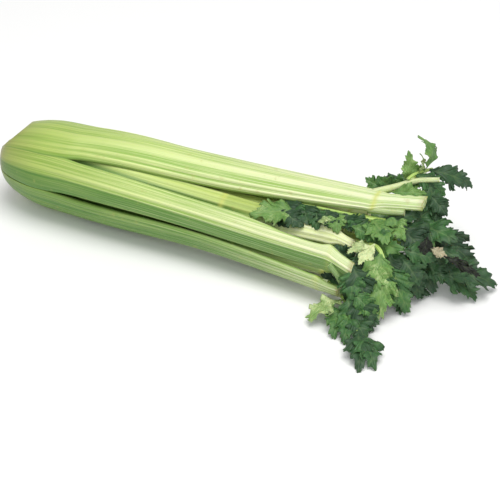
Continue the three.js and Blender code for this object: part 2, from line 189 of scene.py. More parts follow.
class Skin:
    """One mesh in the making, with a UV map and named values on its points."""

    VALUES = ("across", "down", "crest", "flank", "ring", "hollow", "browned", "vein", "shade", "wilt")
    CUT_SLOT = 1  # the material of a cut end, where there is one

    def __init__(self) -> None:
        """Starts an empty mesh."""
        self.bm = bmesh.new()
        self.uv = self.bm.loops.layers.uv.new(UV)
        self.under = self.bm.faces.layers.float.new("under")
        self.values = {name: self.bm.verts.layers.float.new(name) for name in self.VALUES}
        self.lean = self.bm.verts.layers.float_vector.new("lean")

    def sheet(self, across: int, down: int, place: Callable[[int, int], Placed]) -> None:
        """Adds a grid and moves each of its points to its place.

        Args:
            across: number of steps one way.
            down: number of steps the other way.
            place: gives a point and its named values from its column and row.
        """
        known = set(self.bm.verts)
        grid = bmesh.ops.create_grid(self.bm, x_segments=across, y_segments=down, size=0.5)
        for v in grid["verts"]:
            if v in known:
                continue
            v.co, values = place(round((v.co.x + 0.5) * across), round((v.co.y + 0.5) * down))
            for name, value in values.items():
                v[self.values[name]] = value
            for f in v.link_faces:
                f.smooth = True

    def close(self, lip: float = 0.3) -> None:
        """Joins a rolled sheet along its seam and closes its open ends with a slightly domed cut.

        Args:
            lip: how far the cut's edge is rounded over, in millimetres.
        """
        bmesh.ops.remove_doubles(self.bm, verts=self.bm.verts, dist=1e-4)
        edges = [e for e in self.bm.edges if e.is_boundary]
        ends = bmesh.ops.holes_fill(self.bm, edges=edges, sides=0)["faces"]
        bmesh.ops.recalc_face_normals(self.bm, faces=self.bm.faces)
        for f in ends:
            f.material_index = self.CUT_SLOT
        bmesh.ops.inset_individual(self.bm, faces=ends, thickness=lip, depth=lip * 0.7)
        for f in ends:
            f.smooth = False

    def thicken(self, thickness: float) -> None:
        """Gives an open sheet a thickness and marks its underside.

        Args:
            thickness: how far it grows the way that its faces look, in millimetres.
        """
        sheet = self.bm.faces[:]
        self.bm.normal_update()
        for v in self.bm.verts:
            v[self.lean] = v.normal
        grown = bmesh.ops.extrude_face_region(self.bm, geom=sheet)["geom"]
        for v in grown:
            if isinstance(v, bmesh.types.BMVert):
                v.co += v[self.lean] * thickness
        for f in self.bm.faces:
            f.smooth = True
        for f in sheet:
            f[self.under] = 1.0
        bmesh.ops.recalc_face_normals(self.bm, faces=self.bm.faces)

    def finish(self, name: str, materials: Sequence[bpy.types.Material]) -> bpy.types.Object:
        """Takes the mesh to the frame's metres and makes an object of it.

        Args:
            name: the object's name.
            materials: the materials of its slots, in order.

        Returns:
            The object, which stands at the origin.
        """
        across, down = self.values["across"], self.values["down"]
        for f in self.bm.faces:
            for loop in f.loops:
                loop[self.uv].uv = (loop.vert[across] * 0.5 + 0.5, loop.vert[down])
        bmesh.ops.transform(self.bm, matrix=HEAD_TO_FRAME, verts=self.bm.verts)
        self.bm.normal_update()
        mesh = bpy.data.meshes.new(name)
        self.bm.to_mesh(mesh)
        self.bm.free()
        for material in materials:
            mesh.materials.append(material)
        made = bpy.data.objects.new(name, mesh)
        bpy.context.scene.collection.objects.link(made)
        log.info("%s: %d faces", name, len(mesh.polygons))
        return made


def put_on(piece: bpy.types.Object, node: str) -> None:
    """Lets a piece ride on the head and stand for its node.

    Args:
        piece: the finished piece.
        node: the frame's node that it replaces.
    """
    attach(piece, BODY)
    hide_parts(node)


# ---- stalks -------------------------------------------------------------------------------------

SPLAY_FROM = 70  # where the stalks begin to leave the round bundle
LOOSE_FROM = 60  # where a stalk's section begins to close from the bundle's curve to its own
LOOSE_AT = 160  # where it has done so

# Radius of the bundle's skin, at the bulge and at each distance from the butt, and its middle's height.
BULGE = 36
SKIN = (
    (0, 12.5), (4, 19), (10, 25), (20, 30), (38, 34.6), (60, BULGE), (120, 37.5), (200, 33), (340, 30.6))
AXIS = ((0, 35.8), (60, 36.7), (130, 38.2), (200, 37.3), (300, 33.4))

# A stalk's width from the butt to the bulge, as a share of its width there, and how much wider it is
# still, so that the seams between the outer stalks close.
FOOT = ((0, 0.28), (10, 0.63), (38, 0.92), (60, 1))
SNUG = ((0, 1.22), (10, 1.18), (38, 1.14), (60, 1.07), (82, 1.0))

RIB = 0.9  # height of a full rib
RIB_BREADTH = 0.62  # breadth of even ribs, divided by how many there are
RIB_HEIGHTS = (0.65, 1.1)  # between which an even rib's height is drawn
RIB_WANDER = 0.012  # how far a rib wanders across as it runs along
ROLL = 4.6  # how deep the rolled edges go at most
JOINT = 6  # how far a joint's swelling reaches
RING = 1.8  # breadth of a joint's light ring
BROWNING = 6  # how far the dry brown of the butt's cut creeps along a stalk
BROWN_END = 1.2  # how far that of its other cut does
SCAR = 0.6  # how brown the slanting cut is
SCAR_DEPTH = 2  # how far that browning goes down
UV_LENGTH = 400  # length that the height of the UV map stands for
FLAT: Keys = ((0, 0), (1, 0))  # a curve that stays at 0

# Steps of the skin along a stalk: at the foot, up to the bulge, about a joint and elsewhere.
FOOT_STEP = 1.2
BULGE_STEP = 2.2
JOINT_STEP = 1.5
PLAIN_STEP = 4.0

# Steps of the skin round a stalk: over each rib of the back, across the hollow for each of those, and
# round each edge.
RIB_STEPS = 8
HOLLOW_STEPS = 3
EDGE_STEPS = 5

# The slanting cut across the top of the butt: its height where x and y are 0, and its rise with each.
BEVEL = (45.4, 1.0, -0.044)


def bevel(x: float, y: float) -> float:
    """The height of the slanting cut across the top of the butt."""
    return BEVEL[0] + BEVEL[1] * x + BEVEL[2] * y


class Side(Enum):
    """Where a column of a stalk's skin runs."""

    BACK = "ribbed back"
    EDGE = "rounded edge"
    HOLLOW = "smooth hollow"


@dataclass(frozen=True)
class Column:
    """One line of points along a stalk.

    share is its place across the section, from -1 to 1, and turn is its place round an edge.
    """

    side: Side
    share: float
    turn: float = 0.0


@dataclass(frozen=True)
class Ridge:
    """One rib of a stalk's back: its place across, its breadth and its height, all in shares."""

    share: float
    breadth: float
    height: float


@dataclass(frozen=True)
class Section:
    """Where the middle of a stalk's back is at x, the way it faces and the size of its section there."""

    x: float
    y: float
    z: float
    facing: float
    width: float
    curve: float
    thick: float
    rib: float

    def point(self, share: float, depth: float) -> Vector:
        """Works out a point of the section, kept above the floor and under the slanting cut.

        Args:
            share: how far across it is, from -1 to 1.
            depth: how deep under the back it is.

        Returns:
            The point.
        """
        turn = share * self.width / 2 / self.curve
        radius = self.curve - depth
        out, across = radius * math.cos(turn) - self.curve, radius * math.sin(turn)
        c, s = math.cos(self.facing), math.sin(self.facing)
        y, z = self.y + out * c - across * s, self.z + out * s + across * c
        return Vector((self.x, y, max(0.0, min(z, bevel(self.x, y)))))


@dataclass
class Stem:
    """A tapered round side stem with a channel along its upper side.

    root and end are its radius there, green says how much of the stalks' dark flank coat it takes,
    which on the front stalk's stub is painted shade, and channel how deep the channel is.
    """

    points: Sequence[Point]
    root: float
    end: float
    green: float = 0.0
    channel: float = 0.22
    sides: int = 18
    ribs: int = 6

    def sheet(self, skin: Skin) -> None:
        """Adds the stem's rolled sheet to a mesh.

        Args:
            skin: the mesh.
        """
        path = Path(self.points)
        steps = 7 * (len(self.points) - 1)

        def place(i: int, j: int) -> Placed:
            """Works out a point of the stem's sheet.

            Args:
                i: its step round the stem.
                j: its step along the stem.

            Returns:
                The point and its named values.
            """
            share = j / steps
            centre, way = path.at(share), path.way(share)
            side = Vector((0, 0, 1)).cross(way).normalized()
            up = way.cross(side)
            turn = 2 * math.pi * i / self.sides
            ribbed = math.cos(self.ribs * turn)
            radius = mix(self.root, self.end, share)
            radius *= 1 + 0.05 * ribbed
            radius *= 1 - self.channel * bump(turn, math.pi / 2, 0.6)
            values = {"across": 2 * i / self.sides - 1, "down": 0.6 + 0.2 * share,
                      "crest": 0.5 + 0.4 * ribbed, "flank": self.green}
            return centre + side * radius * math.cos(turn) + up * radius * math.sin(turn), values

        skin.sheet(self.sides, steps, place)

    def build(self, name: str, materials: Sequence[bpy.types.Material]) -> bpy.types.Object:
        """Builds the stem as a piece of its own.

        Args:
            name: the piece's name.
            materials: its skin's material and its cut's.

        Returns:
            The piece.
        """
        skin = Skin()
        self.sheet(skin)
        skin.close(0.2)
        return skin.finish(name, materials)


@dataclass
class Stalk:
    """One stalk, from the butt past its joint to its cut end.

    ring is the way its back faces at the bulge, in degrees from +Y towards +Z, and inset how deep its
    back is under the skin. start, node and cut are where it starts, its joint and its cut end. tip is
    (y, z) of its back at the cut, facing the way that it faces there and splay how late it leaves.
    width is round the back at the bulge, half way, under the joint and past it. curve is the radius of
    the back half way, at the joint and past it, and hug its share of the bundle's radius before that.
    thick is at the bulge, half way and at the cut. turn is how far it turns off past the joint, trim
    how much is cut off its upper edge, raised how far it stands out of the skin, and stubs are its cut
    side stems. ridges are its ribs, or ribs says how many even ones are drawn from seed.

    The rest is its look. greener and shaded say between which shares across it is laid with dark
    green, on its lower flank and its upper one. This is partly the lower flank's own deeper colour, and
    partly painted shade on faces that turn down and along the seams where it meets the next stalk. drift
    and closing say how far these shift along it, green_along how strongly they are laid, and hollow_green
    how much painted shade darkens its hollow and rolled edges. joints are places of more light rings, and
    ring_strength is how light the one at its own joint is.
    """

    name: str
    ring: float
    node: float
    cut: float
    tip: tuple[float, float]
    facing: float
    width: tuple[float, float, float, float]
    curve: tuple[float, float, float] = (21, 15, 9)
    thick: tuple[float, float, float] = (7.5, 9.5, 7.5)
    splay: float = 1.4
    inset: float = 0.0
    start: float = 0.0
    ribs: int = 9
    hug: float = 0.86
    slot: Slot = Slot.STALK
    ridges: tuple[Ridge, ...] = ()
    stubs: tuple[Stem, ...] = ()
    greener: tuple[float, float] = (0.8, 1.1)
    seed: int = 1
    turn: tuple[float, float] = (0, 0)
    trim: Keys = FLAT
    raised: Keys = FLAT
    shaded: tuple[float, float] = (1.1, 1.2)
    drift: Keys = FLAT
    closing: Keys = FLAT
    joints: tuple[float, ...] = ()
    ring_strength: float = 1.0
    hollow_green: float = 0.0
    green_along: Keys = ((0, 1), (1, 1))

    def __post_init__(self) -> None:
        """Draws even ribs where none are given."""
        if not self.ridges:
            draw = random.Random(self.seed)
            self.ridges = tuple(
                Ridge((2 * k + 1) / self.ribs - 1, RIB_BREADTH / self.ribs, draw.uniform(*RIB_HEIGHTS))
                for k in range(self.ribs))

    @property
    def outer(self) -> bool:
        """Whether it is one of the outer stalks, whose feet reach the butt's cut."""
        return self.slot is Slot.STALK

    def section(self, x: float) -> Section:
        """Works out the stalk's section.

        Args:
            x: its distance from the butt.

        Returns:
            Its place and sizes.
        """
        skin = along(SKIN, x) - self.inset * min(1, along(SKIN, x) / BULGE)
        skin += along(self.raised, x)
        away = max(0.0, (x - SPLAY_FROM) / (self.cut - SPLAY_FROM)) ** self.splay
        ring = math.radians(self.ring)
        height = along(AXIS, x)
        beyond = max(0.0, (x - self.node) / (self.cut - self.node))
        middle, past_joint = (SPLAY_FROM + self.node) / 2, self.node + 8
        wide, halfway, joint, past = self.width
        own = along(((middle, self.curve[0]), (self.node, self.curve[1]), (past_joint, self.curve[2])), x)
        swell = ease(1 - abs(x - self.node) / JOINT, 0, 1)
        snug = along(SNUG, x) if self.outer else 1
        hug = mix(1.0, self.hug, ease(x, 40, 78)) if self.outer else self.hug
        foot = ((at, wide * share) for at, share in FOOT)
        return Section(
            x=x,
            y=mix(skin * math.cos(ring), self.tip[0], away) + self.turn[0] * beyond,
            z=mix(height + skin * math.sin(ring), self.tip[1], away) + self.turn[1] * beyond,
            facing=math.radians(mix(self.ring, self.facing, away)),
            width=along((*foot, (middle, halfway), (self.node - 2, joint), (self.node + 9, past),
                         (self.cut, past * 0.96)), x) * snug + swell,
            curve=mix(skin * hug, own, ease(x, LOOSE_FROM, LOOSE_AT)) + swell * 0.4,
            thick=along(((0, self.thick[0] * 0.85), (60, self.thick[0]), (middle, self.thick[1]),
                         (self.node, self.thick[1]), (self.cut, self.thick[2])), x),
            rib=RIB * ease(x, 6, 100) * (1 - 0.4 * ease(x, self.node, past_joint))
            * min(1.0, self.width[0] / 40))

    def relief(self, share: float, x: float) -> float:
        """Works out the height of the ribs.

        Args:
            share: the place across the back, from -1 to 1.
            x: the distance from the butt.

        Returns:
            The height there, from 0 to about 1.
        """
        total = 0.0
        for k, one in enumerate(self.ridges):
            drift = RIB_WANDER * math.sin(x / 41 + 2.3 * k + self.seed)
            total += one.height * bump(share, one.share + drift, one.breadth)
        return total

    def stations(self) -> list[float]:
        """Lists the distances at which the skin has a ring of points, closest at the foot and the joints.

        Returns:
            The distances from the butt.
        """
        places = [self.start]
        while places[-1] < self.cut - 1e-6:
            x = places[-1]
            near = min(abs(x - joint - 3) for joint in (self.node, *self.joints))
            if x < 12:
                step = FOOT_STEP
            elif x < 40:
                step = BULGE_STEP
            else:
                step = JOINT_STEP if near < 12 else PLAIN_STEP
            places.append(min(self.cut, x + step))
        return places

    def columns(self) -> list[Column]:
        """Lists the columns of points once round the section.

        Returns:
            The columns, with the last on the first.
        """
        back, hollow = self.ribs * RIB_STEPS, self.ribs * HOLLOW_STEPS
        found = [Column(Side.BACK, 2 * k / back - 1) for k in range(back + 1)]
        found += [Column(Side.EDGE, 1, k / EDGE_STEPS) for k in range(1, EDGE_STEPS)]
        found += [Column(Side.HOLLOW, 1 - 2 * k / hollow) for k in range(hollow + 1)]
        found += [Column(Side.EDGE, -1, 1 - k / EDGE_STEPS) for k in range(1, EDGE_STEPS + 1)]
        return found

    def place(self, at: Section, column: Column) -> Placed:
        """Works out a point of the skin.

        Args:
            at: the section that it is in.
            column: where it is round the section.

        Returns:
            The point and its named values.
        """
        x = at.x
        edge = min(at.thick * 0.6, ROLL) * mix(0.3, 1, ease(x, 35, 85))
        inner = 1 - edge / at.width
        low = 2 * along(self.trim, x) / at.width - 1
        green = along(self.green_along, x)
        drift, closing = along(self.drift, x), along(self.closing, x)

        def over(share: float) -> float:
            """A share of the way across, once the upper edge is trimmed."""
            return mix(low, 1, (share + 1) / 2)

        def side(share: float) -> float:
            """How much dark green is laid at a share of the way across: the lower flank's own colour, and
            painted shade on faces turned down and along seams.
            """
            return max(ease(share - drift, *self.greener),
                       ease(-share - closing, *self.shaded)) * green

        rings = max((bump(x, joint + 1, RING) for joint in self.joints), default=0.0)
        values = {
            "down": x / UV_LENGTH,
            "ring": max(rings, bump(x, self.node + 1, RING) * self.ring_strength),
            "browned": max(math.exp(-(x - self.start) / BROWNING) if self.outer else 0,
                           math.exp(-(self.cut - x) / BROWN_END)),
        }
        # flank lays the dark green coat. It is the lower flank's own colour, and painted shade on faces
        # turned down, along the seams and, by hollow_green, in the hollows and rolled edges.
        if column.side is Side.BACK:
            share = over(column.share * inner)
            height = self.relief(share, x)
            spot = at.point(share, -at.rib * height)
            spare = bevel(x, spot.y) - spot.z
            scar = SCAR * math.exp(-spare / SCAR_DEPTH) if self.outer else 0
            values |= {"across": share, "crest": min(1.0, height), "flank": side(share),
                       "browned": max(values["browned"], scar)}
            return spot, values
        if column.side is Side.EDGE:
            turn = column.turn * math.pi
            share = over(column.share * (1 - (1 - inner) * (1 - math.sin(turn))))
            height = self.relief(over(column.share * inner), x) * (1 - column.turn)
            values |= {"across": share, "crest": 0.3 * (1 - column.turn), "hollow": column.turn,
                       "flank": mix(side(share), self.hollow_green, column.turn)}
            depth = edge * (1 - math.cos(turn)) / 2
            return at.point(share, depth - at.rib * height), values
        share = over(column.share * inner)
        depth = mix(at.thick, edge, abs(column.share) ** 2.2)
        values |= {"across": share, "hollow": 1.0, "flank": self.hollow_green}
        return at.point(share, depth), values

    def build(self, finishes: "Finishes") -> None:
        """Builds the stalk with its side stems and stands it for its node.

        Args:
            finishes: the head's materials.
        """
        skin = Skin()
        columns = self.columns()
        sections = [self.section(x) for x in self.stations()]
        skin.sheet(len(columns) - 1, len(sections) - 1,
                   lambda i, j: self.place(sections[j], columns[i]))
        skin.close()
        materials = (finishes.flesh[self.slot], finishes.cut)
        put_on(skin.finish(f"{self.name}_flesh", materials), self.name)
        for k, stub in enumerate(self.stubs):
            put_on(stub.build(f"{self.name}_stub_{k + 1}", materials), self.name)


@dataclass
class Butt:
    """The solid base that the stalks stand on, with a profile of (radius, distance from the cut)."""

    profile: tuple[tuple[float, float], ...] = (
        (0, 0), (5.6, 0), (11.4, 4), (16.2, 9), (16.4, 13), (12, 14.5), (11.6, 22), (5.6, 24), (0, 32))
    sides: int = 48

    def build(self, finishes: "Finishes") -> None:
        """Spins the profile round the head's middle and stands it for its node.

        Args:
            finishes: the head's materials.
        """
        skin = Skin()
        bm = skin.bm
        verts = [bm.verts.new((x, 0, radius)) for radius, x in self.profile]
        edges = [bm.edges.new(pair) for pair in zip(verts, verts[1:])]
        bmesh.ops.subdivide_edges(bm, edges=edges, cuts=3)
        bmesh.ops.spin(bm, geom=bm.verts[:] + bm.edges[:], cent=(0, 0, 0), axis=(1, 0, 0),
                       angle=2 * math.pi, steps=self.sides, use_merge=True)
        bmesh.ops.remove_doubles(bm, verts=bm.verts, dist=1e-3)
        bmesh.ops.translate(bm, verts=bm.verts, vec=(0, 0, AXIS[0][1]))
        bmesh.ops.recalc_face_normals(bm, faces=bm.faces)
        for f in bm.faces:
            f.smooth = True
        put_on(skin.finish("butt_flesh", (finishes.butt,)), "butt")


# greener, shaded, green_along and hollow_green lay the dark green coat. It is partly the flanks' own
# colour, and partly painted shade on faces that turn down, along the seams between stalks and in the gaps
# between them. The front stalk's stub takes it too, as painted shade that darkens it.
STALKS = (
    Stalk("stalk_top", 100, 306, 343, (38.4, 56.4), 109, (43, 39.5, 25, 19.5), (21, 15, 9.5),
          (7.5, 9.5, 8), 0.9, hug=0.97, seed=11, greener=(0.86, 1.04), turn=(2, 3.4),
          ridges=(Ridge(-0.86, 0.08, 0.7), Ridge(-0.6, 0.12, 0.6), Ridge(-0.34, 0.11, 0.6),
                  Ridge(0.07, 0.18, 1.2), Ridge(0.57, 0.07, 0.85), Ridge(0.79, 0.06, 0.95),
                  Ridge(0.95, 0.05, 0.8)),
          stubs=(Stem(((301, 41, 55.5), (317, 48, 61), (331, 54, 66.5), (348, 57, 70.5)), 2.8, 1.8),
                 Stem(((303, 27, 49.5), (318, 29, 50), (331, 31, 51.3)), 3.2, 2.6, 0.45))),
    Stalk("stalk_front", 158, 294, 314, (-31.8, 38.4), 158, (29.6, 26.7, 26, 21), (21, 16, 11),
          (7.5, 9.5, 8), 1, hug=0.8, seed=12, greener=(0.0, 0.22), turn=(-1, -7), hollow_green=1,
          trim=((218, 0), (240, 2), (258, 4.2), (284, 4.4), (300, 0.6)), ring_strength=0.25,
          ridges=(Ridge(-0.86, 0.09, 0.5), Ridge(-0.62, 0.1, 0.5), Ridge(-0.4, 0.1, 0.6),
                  Ridge(-0.18, 0.1, 1.3), Ridge(0.1, 0.05, 0.8), Ridge(0.36, 0.1, 0.3),
                  Ridge(0.62, 0.1, 0.4), Ridge(0.88, 0.09, 0.6)),
          stubs=(Stem(((298, -35.5, 36), (304, -37, 31), (309.5, -38, 23)), 2.3, 1.7, 1),)),
    Stalk("stalk_low", 217, 288, 307, (-38, 11.7), 216, (37.5, 32, 26, 19), splay=1.7, seed=13,
          greener=(-1.6, -0.5), ring_strength=0.4, hollow_green=1,
          green_along=((0, 0.95), (200, 1), (290, 0.35)),
          stubs=(Stem(((283, -33, 15), (290, -34, 17), (297, -34.5, 18)), 3, 2.8),)),
    Stalk("stalk_under", 277, 280, 298, (2, 0.6), 270, (36.5, 33, 26, 15), splay=1.3, inset=-1, ribs=7,
          seed=14, hollow_green=1, stubs=(Stem(((278, 12, 6), (285, 15, 6), (292, 17, 6)), 3.2, 2.6),)),
    Stalk("stalk_back_low", 334, 290, 306, (44, 11), 331, (35.2, 33, 26, 15), ribs=7, seed=15,
          stubs=(Stem(((288, 41, 19), (296, 44, 22), (306, 46, 24)), 3.2, 2.6),)),
    Stalk("stalk_back", 29, 302, 322, (67.2, 36), 25, (33, 32.5, 26, 15), splay=1.29, ribs=7, seed=16,
          stubs=(Stem(((300, 60, 33), (308, 64, 31), (318, 68, 30)), 3.2, 2.6),)),
)


def inner(name: str, ring: float, node: float, cut: float, tip: tuple[float, float], facing: float,
          seed: int, inset: float = 10.5, splay: float = 1.6, start: float = 14,
          width: tuple[float, float, float, float] = (27, 24, 18, 12), **more: object) -> Stalk:
    """Gives a younger, smaller stalk inside the outer ones.

    Args:
        name, ring, node, cut, tip, facing, seed, inset, splay, start, width: as in Stalk.
        more: any of Stalk's other values.

    Returns:
        The stalk.
    """
    return Stalk(name, ring, node, cut, tip, facing, width, (14, 11, 7), (5.5, 7, 6), splay, inset,
                 start, 5, 0.85, Slot.INNER, seed=seed, **more)


def heart(name: str, ring: float, node: float, cut: float, tip: tuple[float, float], facing: float,
          seed: int, splay: float = 1.5) -> Stalk:
    """Gives a slim pale stalk from the middle of the head.

    Args:
        name, ring, node, cut, tip, facing, seed, splay: as in Stalk.

    Returns:
        The stalk.
    """
    return Stalk(name, ring, node, cut, tip, facing, (17, 16, 13, 9), (9, 8, 5.5), (4.5, 5.5, 5), splay,
                 21.5, 24, 4, 0.7, Slot.HEART, seed=seed)


# inner_front is painted dark along both its seams, as painted shade where it shows between the top and
# front stalks. inner_low is painted dark all over, as painted shade in the gap between the front and low
# stalks.
INNERS = (
    inner("inner_front", 140, 284, 303, (4, 36.4), 121, 21, 15, 1.52, 20, (30, 25, 20, 12),
          greener=(-0.26, -0.04), shaded=(-0.26, -0.06), joints=(195,), ring_strength=0.15, turn=(-3, -4),
          green_along=((205, 1), (228, 0)),
          drift=((72, -0.27), (100, -0.13), (124, -0.03), (147, 0.05), (170, 0.12), (210, 0.23)),
          closing=((72, 0.48), (100, 0.61), (124, 0.7), (147, 0.82), (170, 0.96), (200, 1.05)),
          raised=((40, 0), (62, 7), (80, 6), (110, 5), (150, 2), (180, 0))),
    inner("inner_low", 196, 276, 292, (-20, 22), 196, 22, 9.5, greener=(-2, -1.9), hollow_green=1),
    inner("inner_under", 264, 272, 288, (12, 12.5), 264, 23),
    inner("inner_back", 329, 280, 296, (33.2, 25.6), 339, 24, splay=1.63),
    inner("inner_top", 53, 286, 300, (40, 37.5), 60, 25),
    heart("heart_top", 100, 270, 290, (22, 39.4), 100, 31, 1.48),
    heart("heart_low", 220, 262, 282, (6.7, 25.6), 225, 32),
    heart("heart_back", 340, 266, 286, (25.2, 29), 340, 33, 1.68),
)


# ---- leaves -------------------------------------------------------------------------------------

# Corners of half of a leaflet's cut edge: (along, out, where that vein leaves the midrib), and which
# of them are the tips of lobes and which the notches between.
EDGE = (
    (0, 0.02, 0), (0.2, 0.11, 0.06), (0.34, 0.4, 0.14), (0.43, 0.33, 0.19), (0.6, 0.5, 0.27),
    (0.56, 0.2, 0.38), (0.75, 0.35, 0.5), (0.76, 0.2, 0.62), (0.88, 0.13, 0.78), (1, 0, 1))
LOBES = (2, 4, 6, 8, 9)
NOTCHES = (3, 5, 7)


@dataclass(frozen=True)
class Leaflet:
    """One leaflet of a spray.

    root is where it grows, as a stem's number and a share of the way along it or as the place itself.
    tip is its end, wide its width over its length, face the way its upper side looks and bend its arch
    over its length. shade is how dark or light it is, from 0, near black, to 1 for young. This is partly
    its age, and partly painted shade where it lies in the shadow under the stalks or fills a dark hole in
    the leaves. It is drawn where none is given, and wilt is how dry it is.
    """

    root: tuple[int, float] | Point
    tip: Point
    wide: float
    face: Point
    bend: float
    shade: float | None = None
    wilt: float = 0.0


class Blade:
    """The skin of a leaflet: rows of points that run from the midrib out to the toothed edge."""

    ROWS = 84  # steps along each half's edge
    REACH = 8  # steps from the midrib to the edge
    ROUND = 3  # rows to each side over which the edge's corners are rounded
    THICK = 0.4  # in millimetres
    AGES = (0.1, 0.6)  # between which its shade is drawn where none is given
    LOBE_SHIFTS = (-0.02, 0.025)  # between which a lobe's tip moves along, over its length
    LOBE_REACHES = (0.86, 1.08)  # between which a lobe's reach is drawn, and a notch's below
    NOTCH_REACHES = (0.7, 1.15)
    CURLS = (-0.07, 0.04)  # between which the curl of each half is drawn, over its length
    TOOTH = 0.055  # height of a tooth, over the leaflet's length
    TOOTH_SIZES = (0.2, 1.3)  # between which a tooth's share of that is drawn
    TOOTH_ROWS = (5, 6, 7, 9)  # numbers of rows that a tooth can take
    WAVES = (0.065, 0.03)  # height of its short and its long waves, over its length
    RUFFLE = 0.009  # height of the edge's ruffle, over its length
    PUFF = 0.006  # how far it swells between veins, over its length

    def __init__(self, base: Vector, leaflet: Leaflet, seed: int) -> None:
        """Works out the leaflet's own directions and its edge.

        Args:
            base: where it grows from the stem.
            leaflet: its sizes.
            seed: starts the random draws of its teeth and waves.
        """
        self.base, self.leaflet = base, leaflet
        chord = Vector(leaflet.tip) - base
        self.length = chord.length
        self.ahead = chord.normalized()
        face = Vector(leaflet.face)
        self.up = (face - self.ahead * face.dot(self.ahead)).normalized()
        self.side = self.up.cross(self.ahead)
        self.draw = random.Random(seed)
        self.shade = self.draw.uniform(*self.AGES) if leaflet.shade is None else leaflet.shade
        self.edges = {way: self.edge() for way in (-1, 1)}
        self.curls = {way: self.draw.uniform(*self.CURLS) for way in (-1, 1)}
        self.phase = [self.draw.uniform(0, 6.28) for _ in range(2)]

    def edge(self) -> list[tuple[float, float, float, float]]:
        """Draws one half of the edge.

        Returns:
            For each row its place along and out, where its vein leaves the midrib, and how near it is to
            a lobe's vein.
        """
        wide = self.leaflet.wide
        flat = [[a, o * wide] for a, o, _ in EDGE]
        for lobe in LOBES[:-1]:
            flat[lobe][0] += self.draw.uniform(*self.LOBE_SHIFTS)
            flat[lobe][1] *= self.draw.uniform(*self.LOBE_REACHES)
        for notch in NOTCHES:
            flat[notch][1] *= self.draw.uniform(*self.NOTCH_REACHES)
        spans = [math.dist(p, q) for p, q in zip(flat, flat[1:])]
        total = sum(spans)
        plain = [self.walk(flat, spans, total * row / self.ROWS) for row in range(self.ROWS + 1)]
        found = []
        size, step, steps = 0.0, 0, 1
        for row, (_, _, k, t) in enumerate(plain):
            reach = min(self.ROUND, row, self.ROWS - row)
            close = plain[row - reach:row + reach + 1]
            a, o = (sum(spot[axis] for spot in close) / len(close) for axis in (0, 1))
            vein = mix(EDGE[k][2], EDGE[k + 1][2], t)
            near, far = (max(bump(row, self.ROWS * sum(spans[:corner]) / total, breadth)
                             for corner in corners) for corners, breadth in ((LOBES, 1.6), (NOTCHES, 2.2)))
            step += 1
            if step >= steps:
                size = self.TOOTH * self.draw.uniform(*self.TOOTH_SIZES)
                step, steps = 0, self.draw.choice(self.TOOTH_ROWS)
            tooth = size * (step / (steps - 1)) ** 1.3 * (1 - far) * ease(row, 3, 12)
            away = Vector((flat[k][1] - flat[k + 1][1], flat[k + 1][0] - flat[k][0])).normalized()
            if row < self.ROWS:
                a, o = a + (away.x + 0.35) * tooth, max(0.0, o + away.y * tooth)
            found.append((min(1.02, a), o / wide, vein, near))
        return found

    @staticmethod
    def walk(flat: list[list[float]], spans: list[float], run: float) -> tuple[float, float, int, float]:
        """Works out the place a run along a line of corners.

        Args:
            flat: the corners, each its place along and out.
            spans: the lengths between them.
            run: how far it is from the first.

        Returns:
            Its place along and out, the stretch that it is in and the share of that.
        """
        k = 0
        while k < len(spans) - 1 and run > spans[k]:
            run -= spans[k]
            k += 1
        t = min(1.0, run / spans[k])
        return mix(flat[k][0], flat[k + 1][0], t), mix(flat[k][1], flat[k + 1][1], t), k, t

    def spot(self, a: float, out: float, lift: float) -> Vector:
        """Works out a point of the blade.

        Args:
            a: its place along, in shares of the length.
            out: its place out, in shares of the width.
            lift: how far it is lifted, in millimetres.

        Returns:
            The point, kept above the floor.
        """
        leaf = self.leaflet
        reach = abs(out)
        arch = leaf.bend * 4 * a * (1 - a)
        fold = 0.22 * reach * leaf.wide - 0.5 * leaf.bend * reach
        short, long = self.WAVES
        wave = short * math.sin(a * 17 + (0 if out > 0 else 2)) * min(1.0, 3 * reach)
        wave += long * math.sin(a * 7 + self.phase[1]) * min(1.0, 2 * reach)
        found = (self.base + self.ahead * a * self.length + self.side * out * leaf.wide * self.length
                 + self.up * ((arch + fold + wave) * self.length + lift))
        found.z = max(found.z, 0.2)
        return found

    def place(self, i: int, j: int) -> Placed:
        """Works out a point of the blade's sheet.

        Args:
            i: its column, from one edge over the midrib to the other.
            j: its row.

        Returns:
            The point and its named values.
        """
        way = -1 if i > self.REACH else 1
        s = abs(self.REACH - i) / self.REACH
        a, o, vein, near = self.edges[way][j]
        grown = s ** 0.9
        at_along, at_out = mix(vein, a, grown), way * o * grown
        puff = (1 - near) * math.sin(math.pi * min(1.0, s * 1.1)) * self.PUFF * self.length
        ruffle = s * s * self.RUFFLE * self.length * math.sin(j * 0.5 + self.phase[0] + way)
        curl = self.curls[way] * self.length * s ** 3 * (0.3 + near)
        groove = -0.25 * bump(s, 0, 0.08)
        lift = puff + ruffle + curl + groove - 0.18 * near * math.sin(math.pi * s)
        values = {
            "across": way * s, "down": j / self.ROWS,
            "vein": max(bump(s, 0, 0.06), 0.8 * near * (1 - 0.7 * s)),
            "shade": self.shade, "wilt": self.leaflet.wilt,
        }
        return self.spot(at_along, at_out, lift), values

    def add(self, skin: Skin) -> None:
        """Adds the blade to a spray's mesh, with its thickness.

        Args:
            skin: the spray's mesh.
        """
        part = Skin()
        part.sheet(2 * self.REACH, self.ROWS, self.place)
        bmesh.ops.remove_doubles(part.bm, verts=part.bm.verts, dist=1e-3)
        faces = part.bm.faces[:]
        bmesh.ops.recalc_face_normals(part.bm, faces=faces)
        part.bm.normal_update()
        total = sum((f.normal * f.calc_area() for f in faces), Vector())
        if total.dot(self.up) < 0:
            bmesh.ops.reverse_faces(part.bm, faces=faces)
        part.thicken(self.THICK)
        mesh = bpy.data.meshes.new("blade")
        part.bm.to_mesh(mesh)
        part.bm.free()
        skin.bm.from_mesh(mesh)
        bpy.data.meshes.remove(mesh)


